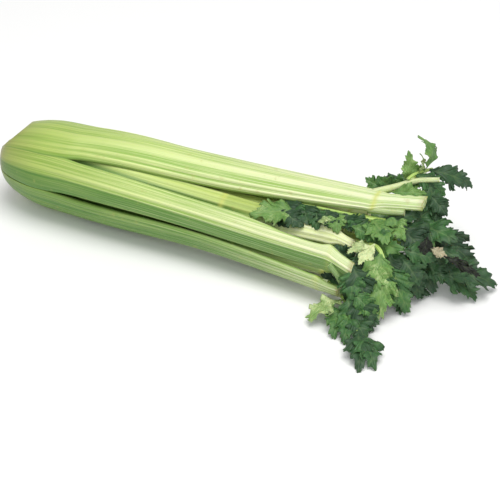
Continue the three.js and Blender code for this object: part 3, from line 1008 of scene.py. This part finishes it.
@dataclass
class Spray:
    """A leafy spray: its stems, each as its points and its radius at the root and the end, and leaves."""

    name: str
    stems: tuple[tuple[tuple[Point, ...], float, float], ...]
    leaves: tuple[Leaflet, ...]
    seed: int = 0

    def build(self, finishes: "Finishes") -> None:
        """Builds the spray's stems and blades and stands them for its node.

        Args:
            finishes: the head's materials.
        """
        stems = Skin()
        for points, root, end in self.stems:
            Stem(points, root, end, channel=0.3).sheet(stems)
        stems.close(0.15)
        put_on(stems.finish(f"{self.name}_stems", (finishes.petiole, finishes.cut)), self.name)
        blades = Skin()
        paths = [Path(points) for points, _, _ in self.stems]
        for k, leaf in enumerate(self.leaves):
            stem, *rest = leaf.root
            base = paths[stem].at(*rest) if len(rest) == 1 else Vector(leaf.root)
            Blade(base, leaf, self.seed * 100 + k).add(blades)
        put_on(blades.finish(f"{self.name}_blades", (finishes.leaf,)), self.name)


# Leaflets with a low shade are dark. This is partly old leaves, and partly painted shade where they lie in
# the shadow under the stalks or fill dark gaps in the leaf mass. Those of shade 0 are near black, as
# painted shade in holes between the leaves.
SPRAYS = (
    Spray("spray_top", ((((325, 51.5, 67.5), (328, 56, 70), (333, 62, 71), (338, 70, 70)), 1.4, 1.1),), (
        Leaflet((326, 58, 58), (322, 60, 87), 0.5, (0.5, -0.9, 0.3), 0.06, 0.62),
        Leaflet((0, 0.45), (329, 65, 84), 0.4, (1, 0, 0.3), 0.3, 0.8),
        Leaflet((0, 0.65), (325, 69, 96), 0.66, (1, -0.2, 0.3), 0.42, 0.54),
        Leaflet((0, 0.85), (366, 86, 53), 0.52, (0.4, -0.5, 0.8), 0.1, 0.12),
        Leaflet((0, 0.4), (352, 62, 54), 0.8, (0.3, -0.6, 0.8), 0.1, 0.3),
        Leaflet((323, 58, 56), (333, 64, 75), 0.9, (0.3, -0.9, 0.4), 0.08, 0.6),
        Leaflet((316, 44, 58), (341, 49, 61), 0.6, (0.2, -0.7, 0.6), 0.1, 0.55),
        Leaflet((339, 58, 67), (353, 47, 35.6), 0.6, (0.7, -0.7, 0.1), 0.08, 0.16),
        Leaflet((344, 52, 58), (360, 46, 48), 0.9, (0.6, -0.7, 0.2), 0.08, 0.1)), 1),
    Spray("spray_back", ((((302, 61, 45), (314, 70, 46), (324, 80, 40), (330, 88, 30)), 2.6, 1.3),), (
        Leaflet((0, 0.05), (287, 62, 52), 0.95, (-0.2, -0.7, 0.7), 0.1, 0.4),
        Leaflet((0, 0.3), (311, 72, 57), 0.8, (0.2, -0.8, 0.5), 0.1, 0.4),
        Leaflet((0, 0.2), (300, 56, 60), 1.1, (0, -0.8, 0.6), 0.1, 0.36),
        Leaflet((0, 0.5), (296, 100, 34), 0.8, (0, 0.2, 1), 0.1),
        Leaflet((0, 0.85), (314, 108, 14), 0.8, (0, 0.6, 0.8), 0.1),
        Leaflet((0, 0.97), (338, 96, 10), 0.9, (0.4, 0.2, 0.9), 0.12)), 2),
    Spray("spray_back_low", ((((290, 50, 14), (304, 58, 15), (318, 62, 11), (330, 60, 6)), 2.4, 1.2),), (
        Leaflet((0, 0.3), (292, 86, 5), 0.8, (-0.2, 0.3, 1), 0.1),
        Leaflet((0, 0.6), (314, 84, 3), 0.8, (0, 0.3, 1), 0.12),
        Leaflet((0, 0.96), (354, 66, 1.6), 0.85, (0.3, 0.1, 1), 0.1)), 3),
    Spray("spray_gap", (
        (((236, 12.5, 47.2), (255, 15.5, 46.8), (275, 17, 46.5), (294, 20, 45.5)), 1.3, 1.2),), (
        Leaflet((256, 8, 44), (224, -14, 46), 0.75, (0, -0.3, 1), 0.06, 0.64),
        Leaflet((0, 0.15), (259, -0.5, 41), 0.95, (-0.1, -0.3, 1), 0.08, 0.3),
        Leaflet((0, 0.5), (273.5, -0.6, 38.8), 1, (0.1, -0.4, 1), 0.08, 0.2),
        Leaflet((0, 0.75), (289, 2.5, 38), 1, (0.2, -0.5, 0.9), 0.08, 0.6),
        Leaflet((0, 0.97), (302.5, 11, 35.6), 0.85, (0.2, -0.5, 0.8), 0.1, 0.25),
        Leaflet((0, 0.05), (256, 0.2, 41.8), 1.1, (0, -0.4, 1), 0.08, 0.1),
        Leaflet((0, 0.3), (266.4, 0.3, 40.4), 1.2, (0, -0.4, 1), 0.08, 0.12),
        Leaflet((0, 0.62), (281.8, 3.6, 39.9), 1.2, (0.1, -0.4, 1), 0.08, 0.08),
        Leaflet((0, 0.85), (297.5, 10, 37.1), 1.1, (0.2, -0.5, 0.9), 0.08, 0.12),
        Leaflet((234, -4, 46), (250, -4, 37.6), 1.0, (0, -0.5, 1), 0.06, 0.06),
        Leaflet((244, 0, 46), (262.8, -3, 39.7), 1.0, (0, -0.5, 1), 0.06, 0.1),
        Leaflet((273, 2, 44), (284, -1, 51), 0.5, (0.1, -0.5, 1), 0.06, 0.86)), 4),
    Spray("spray_heart", (
        (((290.5, 23, 42.5), (310, 24, 43), (330, 30, 42), (348, 39, 38)), 3, 1.6),
        (((282.5, 5, 26), (304, 8, 30), (326, 8, 32), (344, 6, 27)), 3, 1.6),
        (((286.5, 27, 29), (308, 26, 31), (334, 22, 30), (366, 14, 20)), 3, 1.6)), (
        Leaflet((0, 0.3), (331, -2, 43), 0.85, (0.3, -0.6, 0.8), 0.08, 0.55),
        Leaflet((0, 0.8), (349, 57, 50), 0.8, (0.3, -0.5, 0.8), 0.1, 0.2),
        Leaflet((0, 0.97), (359, 48, 42), 0.9, (0.5, -0.6, 0.5), 0.1, 0.12),
        Leaflet((0, 1), (388, 38, 14), 0.6, (0.4, -0.5, 0.8), 0.06, 0.08),
        Leaflet((0, 0.45), (341, 38, 47), 0.8, (0.2, -0.5, 0.8), 0.1, 0.12),
        Leaflet((0, 0.5), (341, 6, 45), 0.7, (0.3, -0.6, 0.7), 0.1, 0.6),
        Leaflet((0, 0.7), (358, 16, 38), 0.8, (0.4, -0.6, 0.7), 0.1, 0.12),
        Leaflet((1, 0.45), (342, -2, 42), 0.8, (0.4, -0.7, 0.6), 0.1, 0.4),
        Leaflet((1, 0.7), (344, -11.5, 23.6), 0.9, (0.4, -0.7, 0.6), 0.1, 0.2),
        Leaflet((1, 1), (360, -8, 6), 0.8, (0.5, -0.7, 0.5), 0.1, 0.12),
        Leaflet((2, 0.7), (368, 6, 5), 0.7, (0.4, -0.7, 0.6), 0.1, 0.1),
        Leaflet((2, 0.75), (384, 20, 16), 0.58, (0.5, -0.4, 0.8), 0.08, 0.12),
        Leaflet((2, 1), (407, 34, 5), 0.65, (0.3, -0.4, 0.9), 0.1, 0.14, 0.15),
        Leaflet((2, 0.97), (398, 14, 3), 0.56, (0.4, -0.5, 0.8), 0.1, 0.16),
        Leaflet((332, 20, 45), (357.6, 6, 37), 0.9, (0.3, -0.6, 0.8), 0.08, 0.08),
        Leaflet((360.7, -2, 58.5), (359.5, -2, 42), 0.75, (0.4, -0.7, 0.6), 0.05, 0.0),
        Leaflet((361, 7, 43), (374, 8, 38), 0.6, (0.4, -0.7, 0.6), 0.05, 0.3, 1),
        Leaflet((344, -4, 35), (360.6, -10, 20), 1.1, (0.4, -0.7, 0.6), 0.08, 0.15),
        Leaflet((334, -6, 38), (341.3, -12.6, 11.3), 1.0, (0.3, -0.7, 0.6), 0.08, 0.1),
        Leaflet((342, 0, 40), (366, 6, 34), 0.9, (0.4, -0.6, 0.7), 0.08, 0.2),
        Leaflet((0, 0.9), (376, 24, 42), 0.8, (0.3, -0.5, 0.8), 0.08, 0.22),
        Leaflet((363, 20, 35), (383, 18, 29.6), 0.8, (0.3, -0.5, 0.8), 0.08, 0.14),
        Leaflet((288, 17, 42), (312, 16, 40.5), 0.7, (0.1, -0.5, 0.8), 0.06, 0.16),
        Leaflet((299, 6, 45), (321, 5, 38.7), 0.9, (0.1, -0.5, 0.8), 0.06, 0.42),
        Leaflet((355, 12, 21.5), (380, 9, 15.3), 0.7, (0.4, -0.6, 0.7), 0.06, 0.14),
        Leaflet((373.4, 2, 42.4), (401, 6, 30), 0.26, (0.4, -0.6, 0.7), 0.05, 0.0)), 5),
    Spray("spray_front", ((((303.6, 2, 30), (316, 0, 37), (326, -7, 40), (334, -15, 35)), 2.3, 1.4),), (
        Leaflet((0, 0.35), (306, -21, 40), 0.5, (0.2, -0.5, 0.9), 0.08, 0.92),
        Leaflet((322, -6, 43), (318, -28, 37), 0.55, (0.2, -0.5, 0.9), 0.08, 1),
        Leaflet((0, 0.75), (334, -36, 20), 0.8, (0.2, -0.8, 0.5), 0.1, 0.6),
        Leaflet((0, 0.9), (341, -44, 6), 0.7, (0.35, -0.75, 0.55), 0.1, 0.66),
        Leaflet((0, 1), (358, -25, 4), 0.66, (0.5, -0.7, 0.5), 0.08, 0.3),
        Leaflet((0, 0.9), (338.3, -35.3, 11), 0.8, (0.2, -0.8, 0.5), 0.1, 0.2),
        Leaflet((0, 0.6), (317, -33, 20), 0.8, (0.1, -0.8, 0.6), 0.08, 0.15),
        Leaflet((310, -32, 13), (294, -29, 16), 0.8, (0, -0.8, 0.5), 0.08, 0.2),
        Leaflet((313, -29, 33), (321, -46, 18), 1.0, (0.3, -0.8, 0.5), 0.08, 0.3),
        Leaflet((314, -28, 35), (332, -42, 16), 0.9, (0.3, -0.8, 0.5), 0.08, 0.12),
        Leaflet((317, -44, 18), (326.4, -56, 4), 1.1, (0.2, -0.8, 0.5), 0.08, 0.25),
        Leaflet((320, -43, 19), (341, -55, 2), 0.9, (0.3, -0.7, 0.6), 0.08, 0.1),
        Leaflet((320, -42, 22), (341, -48, 10), 0.8, (0.3, -0.7, 0.6), 0.08, 0.34),
        Leaflet((308, -10, 22), (292, -10, 35), 0.9, (0.3, -0.7, 0.6), 0.06, 0.12),
        Leaflet((307, -26, 9.7), (288, -26, 18.6), 0.8, (0.2, -0.7, 0.6), 0.06, 0.06)), 6),
    Spray("spray_low", ((((296, -24, 8), (309.5, -32.5, 7), (321, -49, 8), (336, -68, 6)), 2.4, 1.3),), (
        Leaflet((0, 0.4), (322, -38, 22), 0.9, (0.3, -0.8, 0.4), 0.1, 0.12),
        Leaflet((0, 0.38), (296, -67, 5), 0.75, (-0.3, 0.2, 1), 0.1, 0.79),
        Leaflet((0, 0.5), (317, -74, 2), 0.6, (0, -0.3, 1), 0.1, 0.45),
        Leaflet((0, 0.62), (328, -77, 2), 0.6, (0.1, -0.3, 1), 0.1, 0.3),
        Leaflet((0, 0.5), (331, -45, 15), 0.8, (0.3, -0.8, 0.5), 0.1, 0.1),
        Leaflet((0, 0.55), (345, -50, 6), 0.9, (0.3, -0.6, 0.8), 0.1, 0.2),
        Leaflet((0, 0.73), (343, -70, 3), 0.9, (0.3, -0.5, 0.8), 0.1, 0.15),
        Leaflet((0, 0.97), (350, -101, 1.5), 0.62, (0.1, -0.3, 1), 0.1, 0.12),
        Leaflet((0, 1), (359, -95, 2.5), 0.7, (0.3, -0.3, 0.9), 0.1, 0.22)), 7),
    Spray("spray_under", ((((298.6, 4, 6), (315, 2, 8), (335, -2, 7), (350, -4, 4)), 2.4, 1.2),), (
        Leaflet((0, 0.8), (352, -26, 1.5), 0.7, (0, -0.3, 1), 0.1, 0.2),
        Leaflet((0, 0.6), (340, 28, 2), 0.8, (0, 0.3, 1), 0.1),
        Leaflet((0, 0.97), (364, 6, 1.6), 0.7, (0.3, 0, 1), 0.1, 0.15)), 8),
)


# ---- finishes -----------------------------------------------------------------------------------


class Board:
    """Adds shader nodes to one tree and joins them."""

    def __init__(self, tree: bpy.types.NodeTree) -> None:
        """Keeps the tree that the nodes go into."""
        self.tree = tree

    def feed(self, node: bpy.types.Node, inputs: dict[int | str, object]) -> None:
        """Fills a node's sockets.

        Args:
            node: the node.
            inputs: what goes into its sockets: an output to join, or a value.
        """
        for key, value in inputs.items():
            if isinstance(value, bpy.types.NodeSocket):
                self.tree.links.new(value, node.inputs[key])
            else:
                node.inputs[key].default_value = value

    def add(self, kind: str, inputs: dict[int | str, object] | None = None,
            **settings: object) -> bpy.types.Node:
        """Adds a node.

        Args:
            kind: its type's name.
            inputs: what goes into its sockets: an output to join, or a value.
            settings: its own properties.

        Returns:
            The node.
        """
        node = self.tree.nodes.new(kind)
        for name, value in settings.items():
            setattr(node, name, value)
        self.feed(node, inputs or {})
        return node

    def place(self) -> Socket:
        """The place on the piece, in its own metres."""
        return self.add("ShaderNodeTexCoord").outputs["Object"]

    def uv(self) -> Socket:
        """The place on the piece's UV map."""
        return self.add("ShaderNodeUVMap", uv_map=UV).outputs[0]

    def value(self, name: str) -> Socket:
        """A named value of the mesh."""
        return self.add("ShaderNodeAttribute", attribute_name=name).outputs["Fac"]

    def plus(self, a: object, b: object) -> Socket:
        """The sum of two numbers."""
        return self.add("ShaderNodeMath", {0: a, 1: b}, operation="ADD").outputs[0]

    def times(self, a: object, b: object) -> Socket:
        """The product of two numbers."""
        return self.add("ShaderNodeMath", {0: a, 1: b}, operation="MULTIPLY").outputs[0]

    def span(self, value: object, low: float, high: float, to_low: float = 0.0,
             to_high: float = 1.0) -> Socket:
        """A value's range stretched smoothly to another."""
        return self.add("ShaderNodeMapRange", {0: value, 1: low, 2: high, 3: to_low, 4: to_high},
                        interpolation_type="SMOOTHSTEP").outputs[0]

    def blend(self, share: object, a: object, b: object) -> Socket:
        """A mix of two colours."""
        a, b = ((*c, 1) if isinstance(c, tuple) else c for c in (a, b))
        return self.add("ShaderNodeMix", {0: share, 6: a, 7: b}, data_type="RGBA").outputs[2]

    def over(self, colour: object, *coats: tuple[object, object]) -> Socket:
        """Lays colours over another.

        Args:
            colour: the lowest one.
            coats: the others from below, each with its share.

        Returns:
            The colour that shows.
        """
        for share, coat in coats:
            colour = self.blend(share, colour, coat)
        return colour

    def ramp(self, share: Socket, stops: Stops) -> Socket:
        """Adds a colour ramp.

        Args:
            share: the place on it, from 0 to 1.
            stops: its places and colours, two or more.

        Returns:
            The colour there.
        """
        node = self.add("ShaderNodeValToRGB", {0: share})
        elements = node.color_ramp.elements
        while len(elements) < len(stops):
            elements.new(1.0)
        for element, (place, colour) in zip(elements, stops):
            element.position, element.color = place, (*colour, 1)
        return node.outputs[0]

    def dots(self, count: float, small: float, large: float) -> Socket:
        """Small dots, so many to a metre, that fade between two sizes."""
        cells = self.add("ShaderNodeTexVoronoi", {"Vector": self.place(), "Scale": count}).outputs[0]
        return self.span(cells, small, large, 1.0, 0.0)

    def relief(self, height: Socket, strength: float, depth: float) -> Socket:
        """The normals of a fine relief, with its depth in metres."""
        return self.add("ShaderNodeBump", {"Strength": strength, "Distance": depth,
                                           "Height": height}).outputs[0]


def group(name: str, takes: Sequence[str], gives: Sequence[str]) -> tuple:
    """Starts a shader node group that puts out numbers.

    Args:
        name: the group's name.
        takes: the names of the numbers that it takes beside a place, its Vector.
        gives: the names of the numbers that it puts out.

    Returns:
        Its board, its input node and its output node.
    """
    tree = bpy.data.node_groups.new(name, "ShaderNodeTree")
    tree.interface.new_socket("Vector", in_out="INPUT", socket_type="NodeSocketVector")
    for key in takes:
        tree.interface.new_socket(key, in_out="INPUT", socket_type="NodeSocketFloat")
    for key in gives:
        tree.interface.new_socket(key, in_out="OUTPUT", socket_type="NodeSocketFloat")
    board = Board(tree)
    return board, board.add("NodeGroupInput"), board.add("NodeGroupOutput")


def strands_group() -> bpy.types.NodeTree:
    """Builds long fibres that run with a stalk: values that change fast across and slowly along.

    Returns:
        The group, which puts out single strands and broad bands of them.
    """
    board, takes, gives = group("Strands", ("Across", "Along"), ("Strand", "Broad"))
    scale = board.add("ShaderNodeCombineXYZ", {0: takes.outputs["Across"], 1: takes.outputs["Along"]})
    place = board.add("ShaderNodeVectorMath", {0: takes.outputs["Vector"], 1: scale.outputs[0]},
                      operation="MULTIPLY").outputs[0]
    fine = board.add("ShaderNodeTexNoise", {"Vector": place, "Scale": 1.0, "Detail": 3.0,
                                            "Roughness": 0.6}, noise_dimensions="4D").outputs[0]
    broad = board.add("ShaderNodeTexNoise", {"Vector": place, "Scale": 0.3, "Detail": 1.0},
                      noise_dimensions="4D").outputs[0]
    board.feed(gives, {"Strand": board.span(fine, 0.3, 0.7), "Broad": board.span(broad, 0.3, 0.7)})
    return board.tree


def blemish_group() -> bpy.types.NodeTree:
    """Builds scattered soft marks.

    Returns:
        The group, which puts out the marks and the cloud that they come from.
    """
    board, takes, gives = group("Blemishes", ("Count", "Bareness"), ("Mark", "Cloud"))
    cloud = board.add("ShaderNodeTexNoise", {"Vector": takes.outputs["Vector"],
                                             "Scale": takes.outputs["Count"], "Detail": 4.0}).outputs[0]
    low = takes.outputs["Bareness"]
    mark = board.add("ShaderNodeMapRange", {0: cloud, 1: low, 2: board.plus(low, 0.08)}).outputs[0]
    board.feed(gives, {"Mark": mark, "Cloud": cloud})
    return board.tree


class Effects:
    """The node groups that several finishes share, each built once."""

    def __init__(self) -> None:
        """Builds the groups."""
        self.strands = strands_group()
        self.blemishes = blemish_group()

    def fibres(self, board: Board, across: float, lengthwise: float = 4.0) -> tuple[Socket, Socket]:
        """Adds long fibres to a material.

        Args:
            board: the material's board.
            across: how many of them there are across the UV map.
            lengthwise: how often they change along it.

        Returns:
            The single strands, and broad bands of them.
        """
        fibre = board.add("ShaderNodeGroup", {"Vector": board.uv(), "Across": across,
                                              "Along": lengthwise}, node_tree=self.strands)
        return fibre.outputs["Strand"], fibre.outputs["Broad"]

    def marks(self, board: Board, count: float, bareness: float) -> tuple[Socket, Socket]:
        """Adds scattered soft marks to a material.

        Args:
            board: the material's board.
            count: how many of them a metre holds.
            bareness: how much stays free of them, from 0 to 1.

        Returns:
            The marks, and the cloud that they come from.
        """
        found = board.add("ShaderNodeGroup", {"Vector": board.place(), "Count": count,
                                              "Bareness": bareness}, node_tree=self.blemishes)
        return found.outputs["Mark"], found.outputs["Cloud"]


def new_material(name: str, **sockets: object) -> tuple[bpy.types.Material, Board, bpy.types.Node]:
    """Starts a material with one Principled shader whose plain sockets are set.

    Args:
        name: the material's name.
        sockets: values for the shader's sockets, with underscores for spaces.

    Returns:
        The material, its board and its shader.
    """
    material = bpy.data.materials.new(name)
    material.use_nodes = True
    board = Board(material.node_tree)
    shader = material.node_tree.nodes["Principled BSDF"]
    board.feed(shader, {key.replace("_", " "): value for key, value in sockets.items()})
    return material, board, shader


@dataclass(frozen=True)
class FleshFinish:
    """The skin of a stalk: pale ribs, deeper green grooves, long fibres, a lighter joint and a dark green
    flank coat, partly the flanks' own colour and partly painted shade.
    """

    name: str
    ribs: Stops
    grooves: Stops
    streak: Colour = tint(150, 188, 84)
    # dark green for lower faces, seams and hollows: partly their own colour and partly painted shade
    flank: Colour = tint(68, 121, 35)
    hollow: Colour = tint(196, 214, 134)
    joint: Colour = tint(200, 206, 106)
    blemish: Colour = tint(176, 170, 88)
    brown: Colour = tint(140, 118, 66)
    strands: float = 52.0

    def make(self, effects: Effects) -> bpy.types.Material:
        """Builds the material.

        Args:
            effects: the node groups that it shares with others.

        Returns:
            The material.
        """
        material, board, shader = new_material(
            self.name, Roughness=0.4, Subsurface_Weight=0.18, Subsurface_Radius=(0.9, 1.0, 0.35),
            Subsurface_Scale=0.003, Coat_Weight=0.15, Coat_Roughness=0.3)
        strand, broad = effects.fibres(board, self.strands)
        mark, _ = effects.marks(board, 160.0, 0.64)
        down = board.add("ShaderNodeSeparateXYZ", {0: board.uv()}).outputs[1]
        light = board.plus(board.times(board.value("crest"), 0.65), board.times(strand, 0.75))
        skin = board.blend(board.span(light, 0.18, 1.0), board.ramp(down, self.grooves),
                           board.ramp(down, self.ribs))
        colour = board.over(
            skin,
            (board.times(broad, 0.3), self.streak),
            (board.value("hollow"), self.hollow),
            # the flank coat: the flanks' own darker green, and painted shade on faces turned down, on
            # seams and in hollows
            (board.times(board.value("flank"), board.span(strand, 0.0, 1.0, 0.95, 0.6)), self.flank),
            (board.times(board.value("ring"), 0.85), self.joint),
            (board.times(mark, 0.3), self.blemish),
            (board.times(board.value("browned"), board.span(strand, 0.0, 1.0, 0.5, 1.0)), self.brown))
        board.feed(shader, {"Base Color": colour, "Roughness": board.span(strand, 0.0, 1.0, 0.34, 0.5),
                            "Normal": board.relief(strand, 0.35, 0.0004)})
        return material


@dataclass(frozen=True)
class CutFinish:
    """A dry cut through flesh, with the ends of its fibres."""

    name: str = "Cut flesh"
    flesh: Colour = tint(226, 234, 178)
    rim: Colour = tint(176, 196, 112)
    fibre: Colour = tint(168, 160, 92)

    def make(self, effects: Effects) -> bpy.types.Material:
        """Builds the material.

        Args:
            effects: the node groups that it shares with others.

        Returns:
            The material.
        """
        material, board, shader = new_material(self.name, Roughness=0.55, Subsurface_Weight=0.15,
                                               Subsurface_Scale=0.003)
        mark, cloud = effects.marks(board, 260.0, 0.5)
        colour = board.over(
            board.blend(mark, self.flesh, self.rim),
            (board.times(board.dots(420.0, 0.12, 0.3), 0.55), self.fibre))
        board.feed(shader, {"Base Color": colour, "Normal": board.relief(cloud, 0.4, 0.0004)})
        return material


@dataclass(frozen=True)
class ButtFinish:
    """The dry, browned cut across the base."""

    name: str = "Butt flesh"
    light: Colour = tint(206, 196, 136)
    dull: Colour = tint(164, 150, 92)
    stain: Colour = tint(140, 112, 64)
    fibre: Colour = tint(128, 104, 58)

    def make(self, effects: Effects) -> bpy.types.Material:
        """Builds the material.

        Args:
            effects: the node groups that it shares with others.

        Returns:
            The material.
        """
        material, board, shader = new_material(self.name, Roughness=0.7)
        mark, cloud = effects.marks(board, 240.0, 0.48)
        colour = board.over(
            board.blend(cloud, self.light, self.dull),
            (board.times(mark, 0.5), self.stain),
            (board.times(board.dots(520.0, 0.1, 0.3), 0.5), self.fibre))
        board.feed(shader, {"Base Color": colour, "Normal": board.relief(cloud, 0.6, 0.0006)})
        return material


@dataclass(frozen=True)
class LeafFinish:
    """A leaf's blade: dark or light by its shade, partly age and partly painted shade, with paler veins
    and a duller underside.
    """

    name: str = "Leaf blade"
    # near black, for leaflets of shade 0: painted shade in the dark holes between leaves
    blackest_shade: Colour = tint(20, 24, 16)
    dark: Colour = tint(42, 66, 46)
    middle: Colour = tint(62, 106, 54)
    fresh: Colour = tint(112, 150, 76)
    young: Colour = tint(212, 222, 166)
    vein: Colour = tint(132, 158, 100)
    under: Colour = tint(84, 118, 74)
    dry: Colour = tint(176, 168, 138)

    def make(self, effects: Effects) -> bpy.types.Material:
        """Builds the material.

        Args:
            effects: the node groups that it shares with others.

        Returns:
            The material.
        """
        material, board, shader = new_material(
            self.name, Roughness=0.5, Specular_IOR_Level=0.35, Subsurface_Weight=0.06,
            Subsurface_Scale=0.001)
        _, cloud = effects.marks(board, 90.0, 0.45)
        strand, _ = effects.fibres(board, 22.0, 9.0)
        own = board.value("shade")
        patches = board.plus(board.span(cloud, 0.3, 0.7, -0.1, 0.1),
                             board.span(strand, 0.1, 0.9, -0.09, 0.09))
        shade = board.plus(own, board.times(patches, board.span(own, 0.0, 0.3)))
        blade = board.ramp(shade, ((0.01, self.blackest_shade), (0.05, self.dark), (0.34, self.middle),
                                   (0.66, self.fresh), (1.0, self.young)))
        dry = board.plus(board.value("wilt"), board.span(cloud, 0.3, 0.7, -0.3, 0.3))
        colour = board.over(
            blade,
            (board.times(board.value("under"), 0.5), self.under),
            (board.times(board.value("vein"), board.span(shade, 0.0, 0.5, 0.15, 0.4)), self.vein),
            (board.span(dry, 0.45, 0.75), self.dry))
        cells = board.add("ShaderNodeTexNoise", {"Vector": board.place(), "Scale": 380.0,
                                                 "Detail": 2.0}).outputs[0]
        board.feed(shader, {"Base Color": colour, "Normal": board.relief(cells, 0.25, 0.0005)})
        return material


class Finishes:
    """All the finishes of the head."""

    def __init__(self) -> None:
        """Builds the materials."""
        effects = Effects()
        ribs = ramp_stops((0.0, 150, 138, 74), (0.03, 160, 170, 88), (0.12, 180, 197, 104),
                          (0.35, 214, 226, 152), (0.62, 232, 235, 188), (0.85, 242, 243, 210))
        grooves = ramp_stops((0.0, 122, 112, 56), (0.03, 134, 150, 66), (0.12, 132, 164, 64),
                             (0.35, 134, 174, 62), (0.62, 146, 182, 76), (0.85, 158, 192, 92))
        # The inner and heart stalks' ramps: past 0.6 of the height (x = 240) they turn near white. This is
        # partly their own paler ends and partly painted light where the leaves above shade them.
        limy = ramp_stops((0.0, 176, 192, 100), (0.3, 214, 226, 146), (0.48, 212, 222, 138),
                          (0.5, 186, 200, 108), (0.56, 186, 200, 108), (0.6, 252, 254, 210))
        deep = ramp_stops((0.0, 130, 160, 70), (0.3, 168, 194, 96), (0.48, 172, 194, 96),
                          (0.5, 152, 176, 82), (0.56, 152, 176, 82), (0.6, 236, 244, 172))
        self.flesh = {
            Slot.STALK: FleshFinish("Stalk skin", ribs, grooves).make(effects),
            Slot.INNER: FleshFinish("Inner stalk skin", limy, deep).make(effects),
            Slot.HEART: FleshFinish("Heart stalk skin", limy, deep).make(effects),
        }
        self.petiole = FleshFinish(
            "Leaf stem skin", ramp_stops((0.0, 190, 214, 120), (1.0, 190, 214, 120)),
            ramp_stops((0.0, 140, 180, 80), (1.0, 140, 180, 80)), strands=14.0).make(effects)
        self.cut = CutFinish().make(effects)
        self.butt = ButtFinish().make(effects)
        self.leaf = LeafFinish().make(effects)


# ---- floor, lights and camera -------------------------------------------------------------------


@dataclass
class Studio:
    """A pale floor, soft lights from above and the camera."""

    azimuth: float = 25
    elevation: float = 35
    distance: float = 1.3
    aim: Point = (223.1, -13.2, 13.0)
    lens: float = 121.56

    def floor(self) -> None:
        """Lays the floor."""
        bm = bmesh.new()
        bmesh.ops.create_grid(bm, x_segments=1, y_segments=1, size=6)
        mesh = bpy.data.meshes.new("floor")
        bm.to_mesh(mesh)
        bm.free()
        material, _, _ = new_material("Floor paint", Base_Color=(0.9, 0.9, 0.9, 1), Roughness=0.9)
        mesh.materials.append(material)
        plane = bpy.data.objects.new("floor", mesh)
        bpy.context.scene.collection.objects.link(plane)

    def lamp(self, name: str, place: Point, size: float, power: float, colour: Colour) -> None:
        """Hangs a square soft lamp that looks at the head.

        Args:
            name: its name.
            place: where it hangs, in metres.
            size: the length of its side, in metres.
            power: its power, in watts.
            colour: its light's colour.
        """
        light = bpy.data.lights.new(name, "AREA")
        light.size, light.energy, light.color = size, power, colour
        hung = bpy.data.objects.new(name, light)
        hung.location = place
        hung.rotation_euler = (-Vector(place)).to_track_quat("-Z", "Y").to_euler()
        bpy.context.scene.collection.objects.link(hung)

    def lights(self) -> None:
        """Hangs the lamps and sets the room's light."""
        self.lamp("overhead", (0.3, -0.1, 1.7), 1.2, 21.3, (1, 0.99, 0.96))
        self.lamp("front", (0.7, -1.6, 1.3), 1.2, 9, (0.98, 0.99, 1))
        world = bpy.data.worlds.new("room")
        world.use_nodes = True
        background = world.node_tree.nodes["Background"]
        background.inputs[0].default_value = (0.98, 0.99, 1, 1)
        background.inputs[1].default_value = 0.55
        bpy.context.scene.world = world
        bpy.context.scene.view_settings.view_transform = "Standard"

    def camera(self) -> None:
        """Sets up the camera."""
        a, e = math.radians(self.azimuth), math.radians(self.elevation)
        back = Vector((math.sin(a) * math.cos(e), -math.cos(a) * math.cos(e), math.sin(e)))
        lens = bpy.data.cameras.new("camera")
        lens.lens, lens.sensor_width, lens.clip_end = self.lens, 36, 50
        held = bpy.data.objects.new("camera", lens)
        held.location = HEAD_TO_FRAME @ Vector(self.aim) + back * self.distance
        held.rotation_euler = back.to_track_quat("Z", "Y").to_euler()
        bpy.context.scene.collection.objects.link(held)
        bpy.context.scene.camera = held

    def build(self) -> None:
        """Sets up everything."""
        self.floor()
        self.lights()
        self.camera()


def main() -> None:
    """Builds and dresses the head of celery."""
    logging.basicConfig(level=logging.INFO, format="%(message)s")
    finishes = Finishes()
    Butt().build(finishes)
    for one in STALKS + INNERS:
        one.build(finishes)
    for one in SPRAYS:
        one.build(finishes)
    Studio().build()


if __name__ == "__main__":
    main()
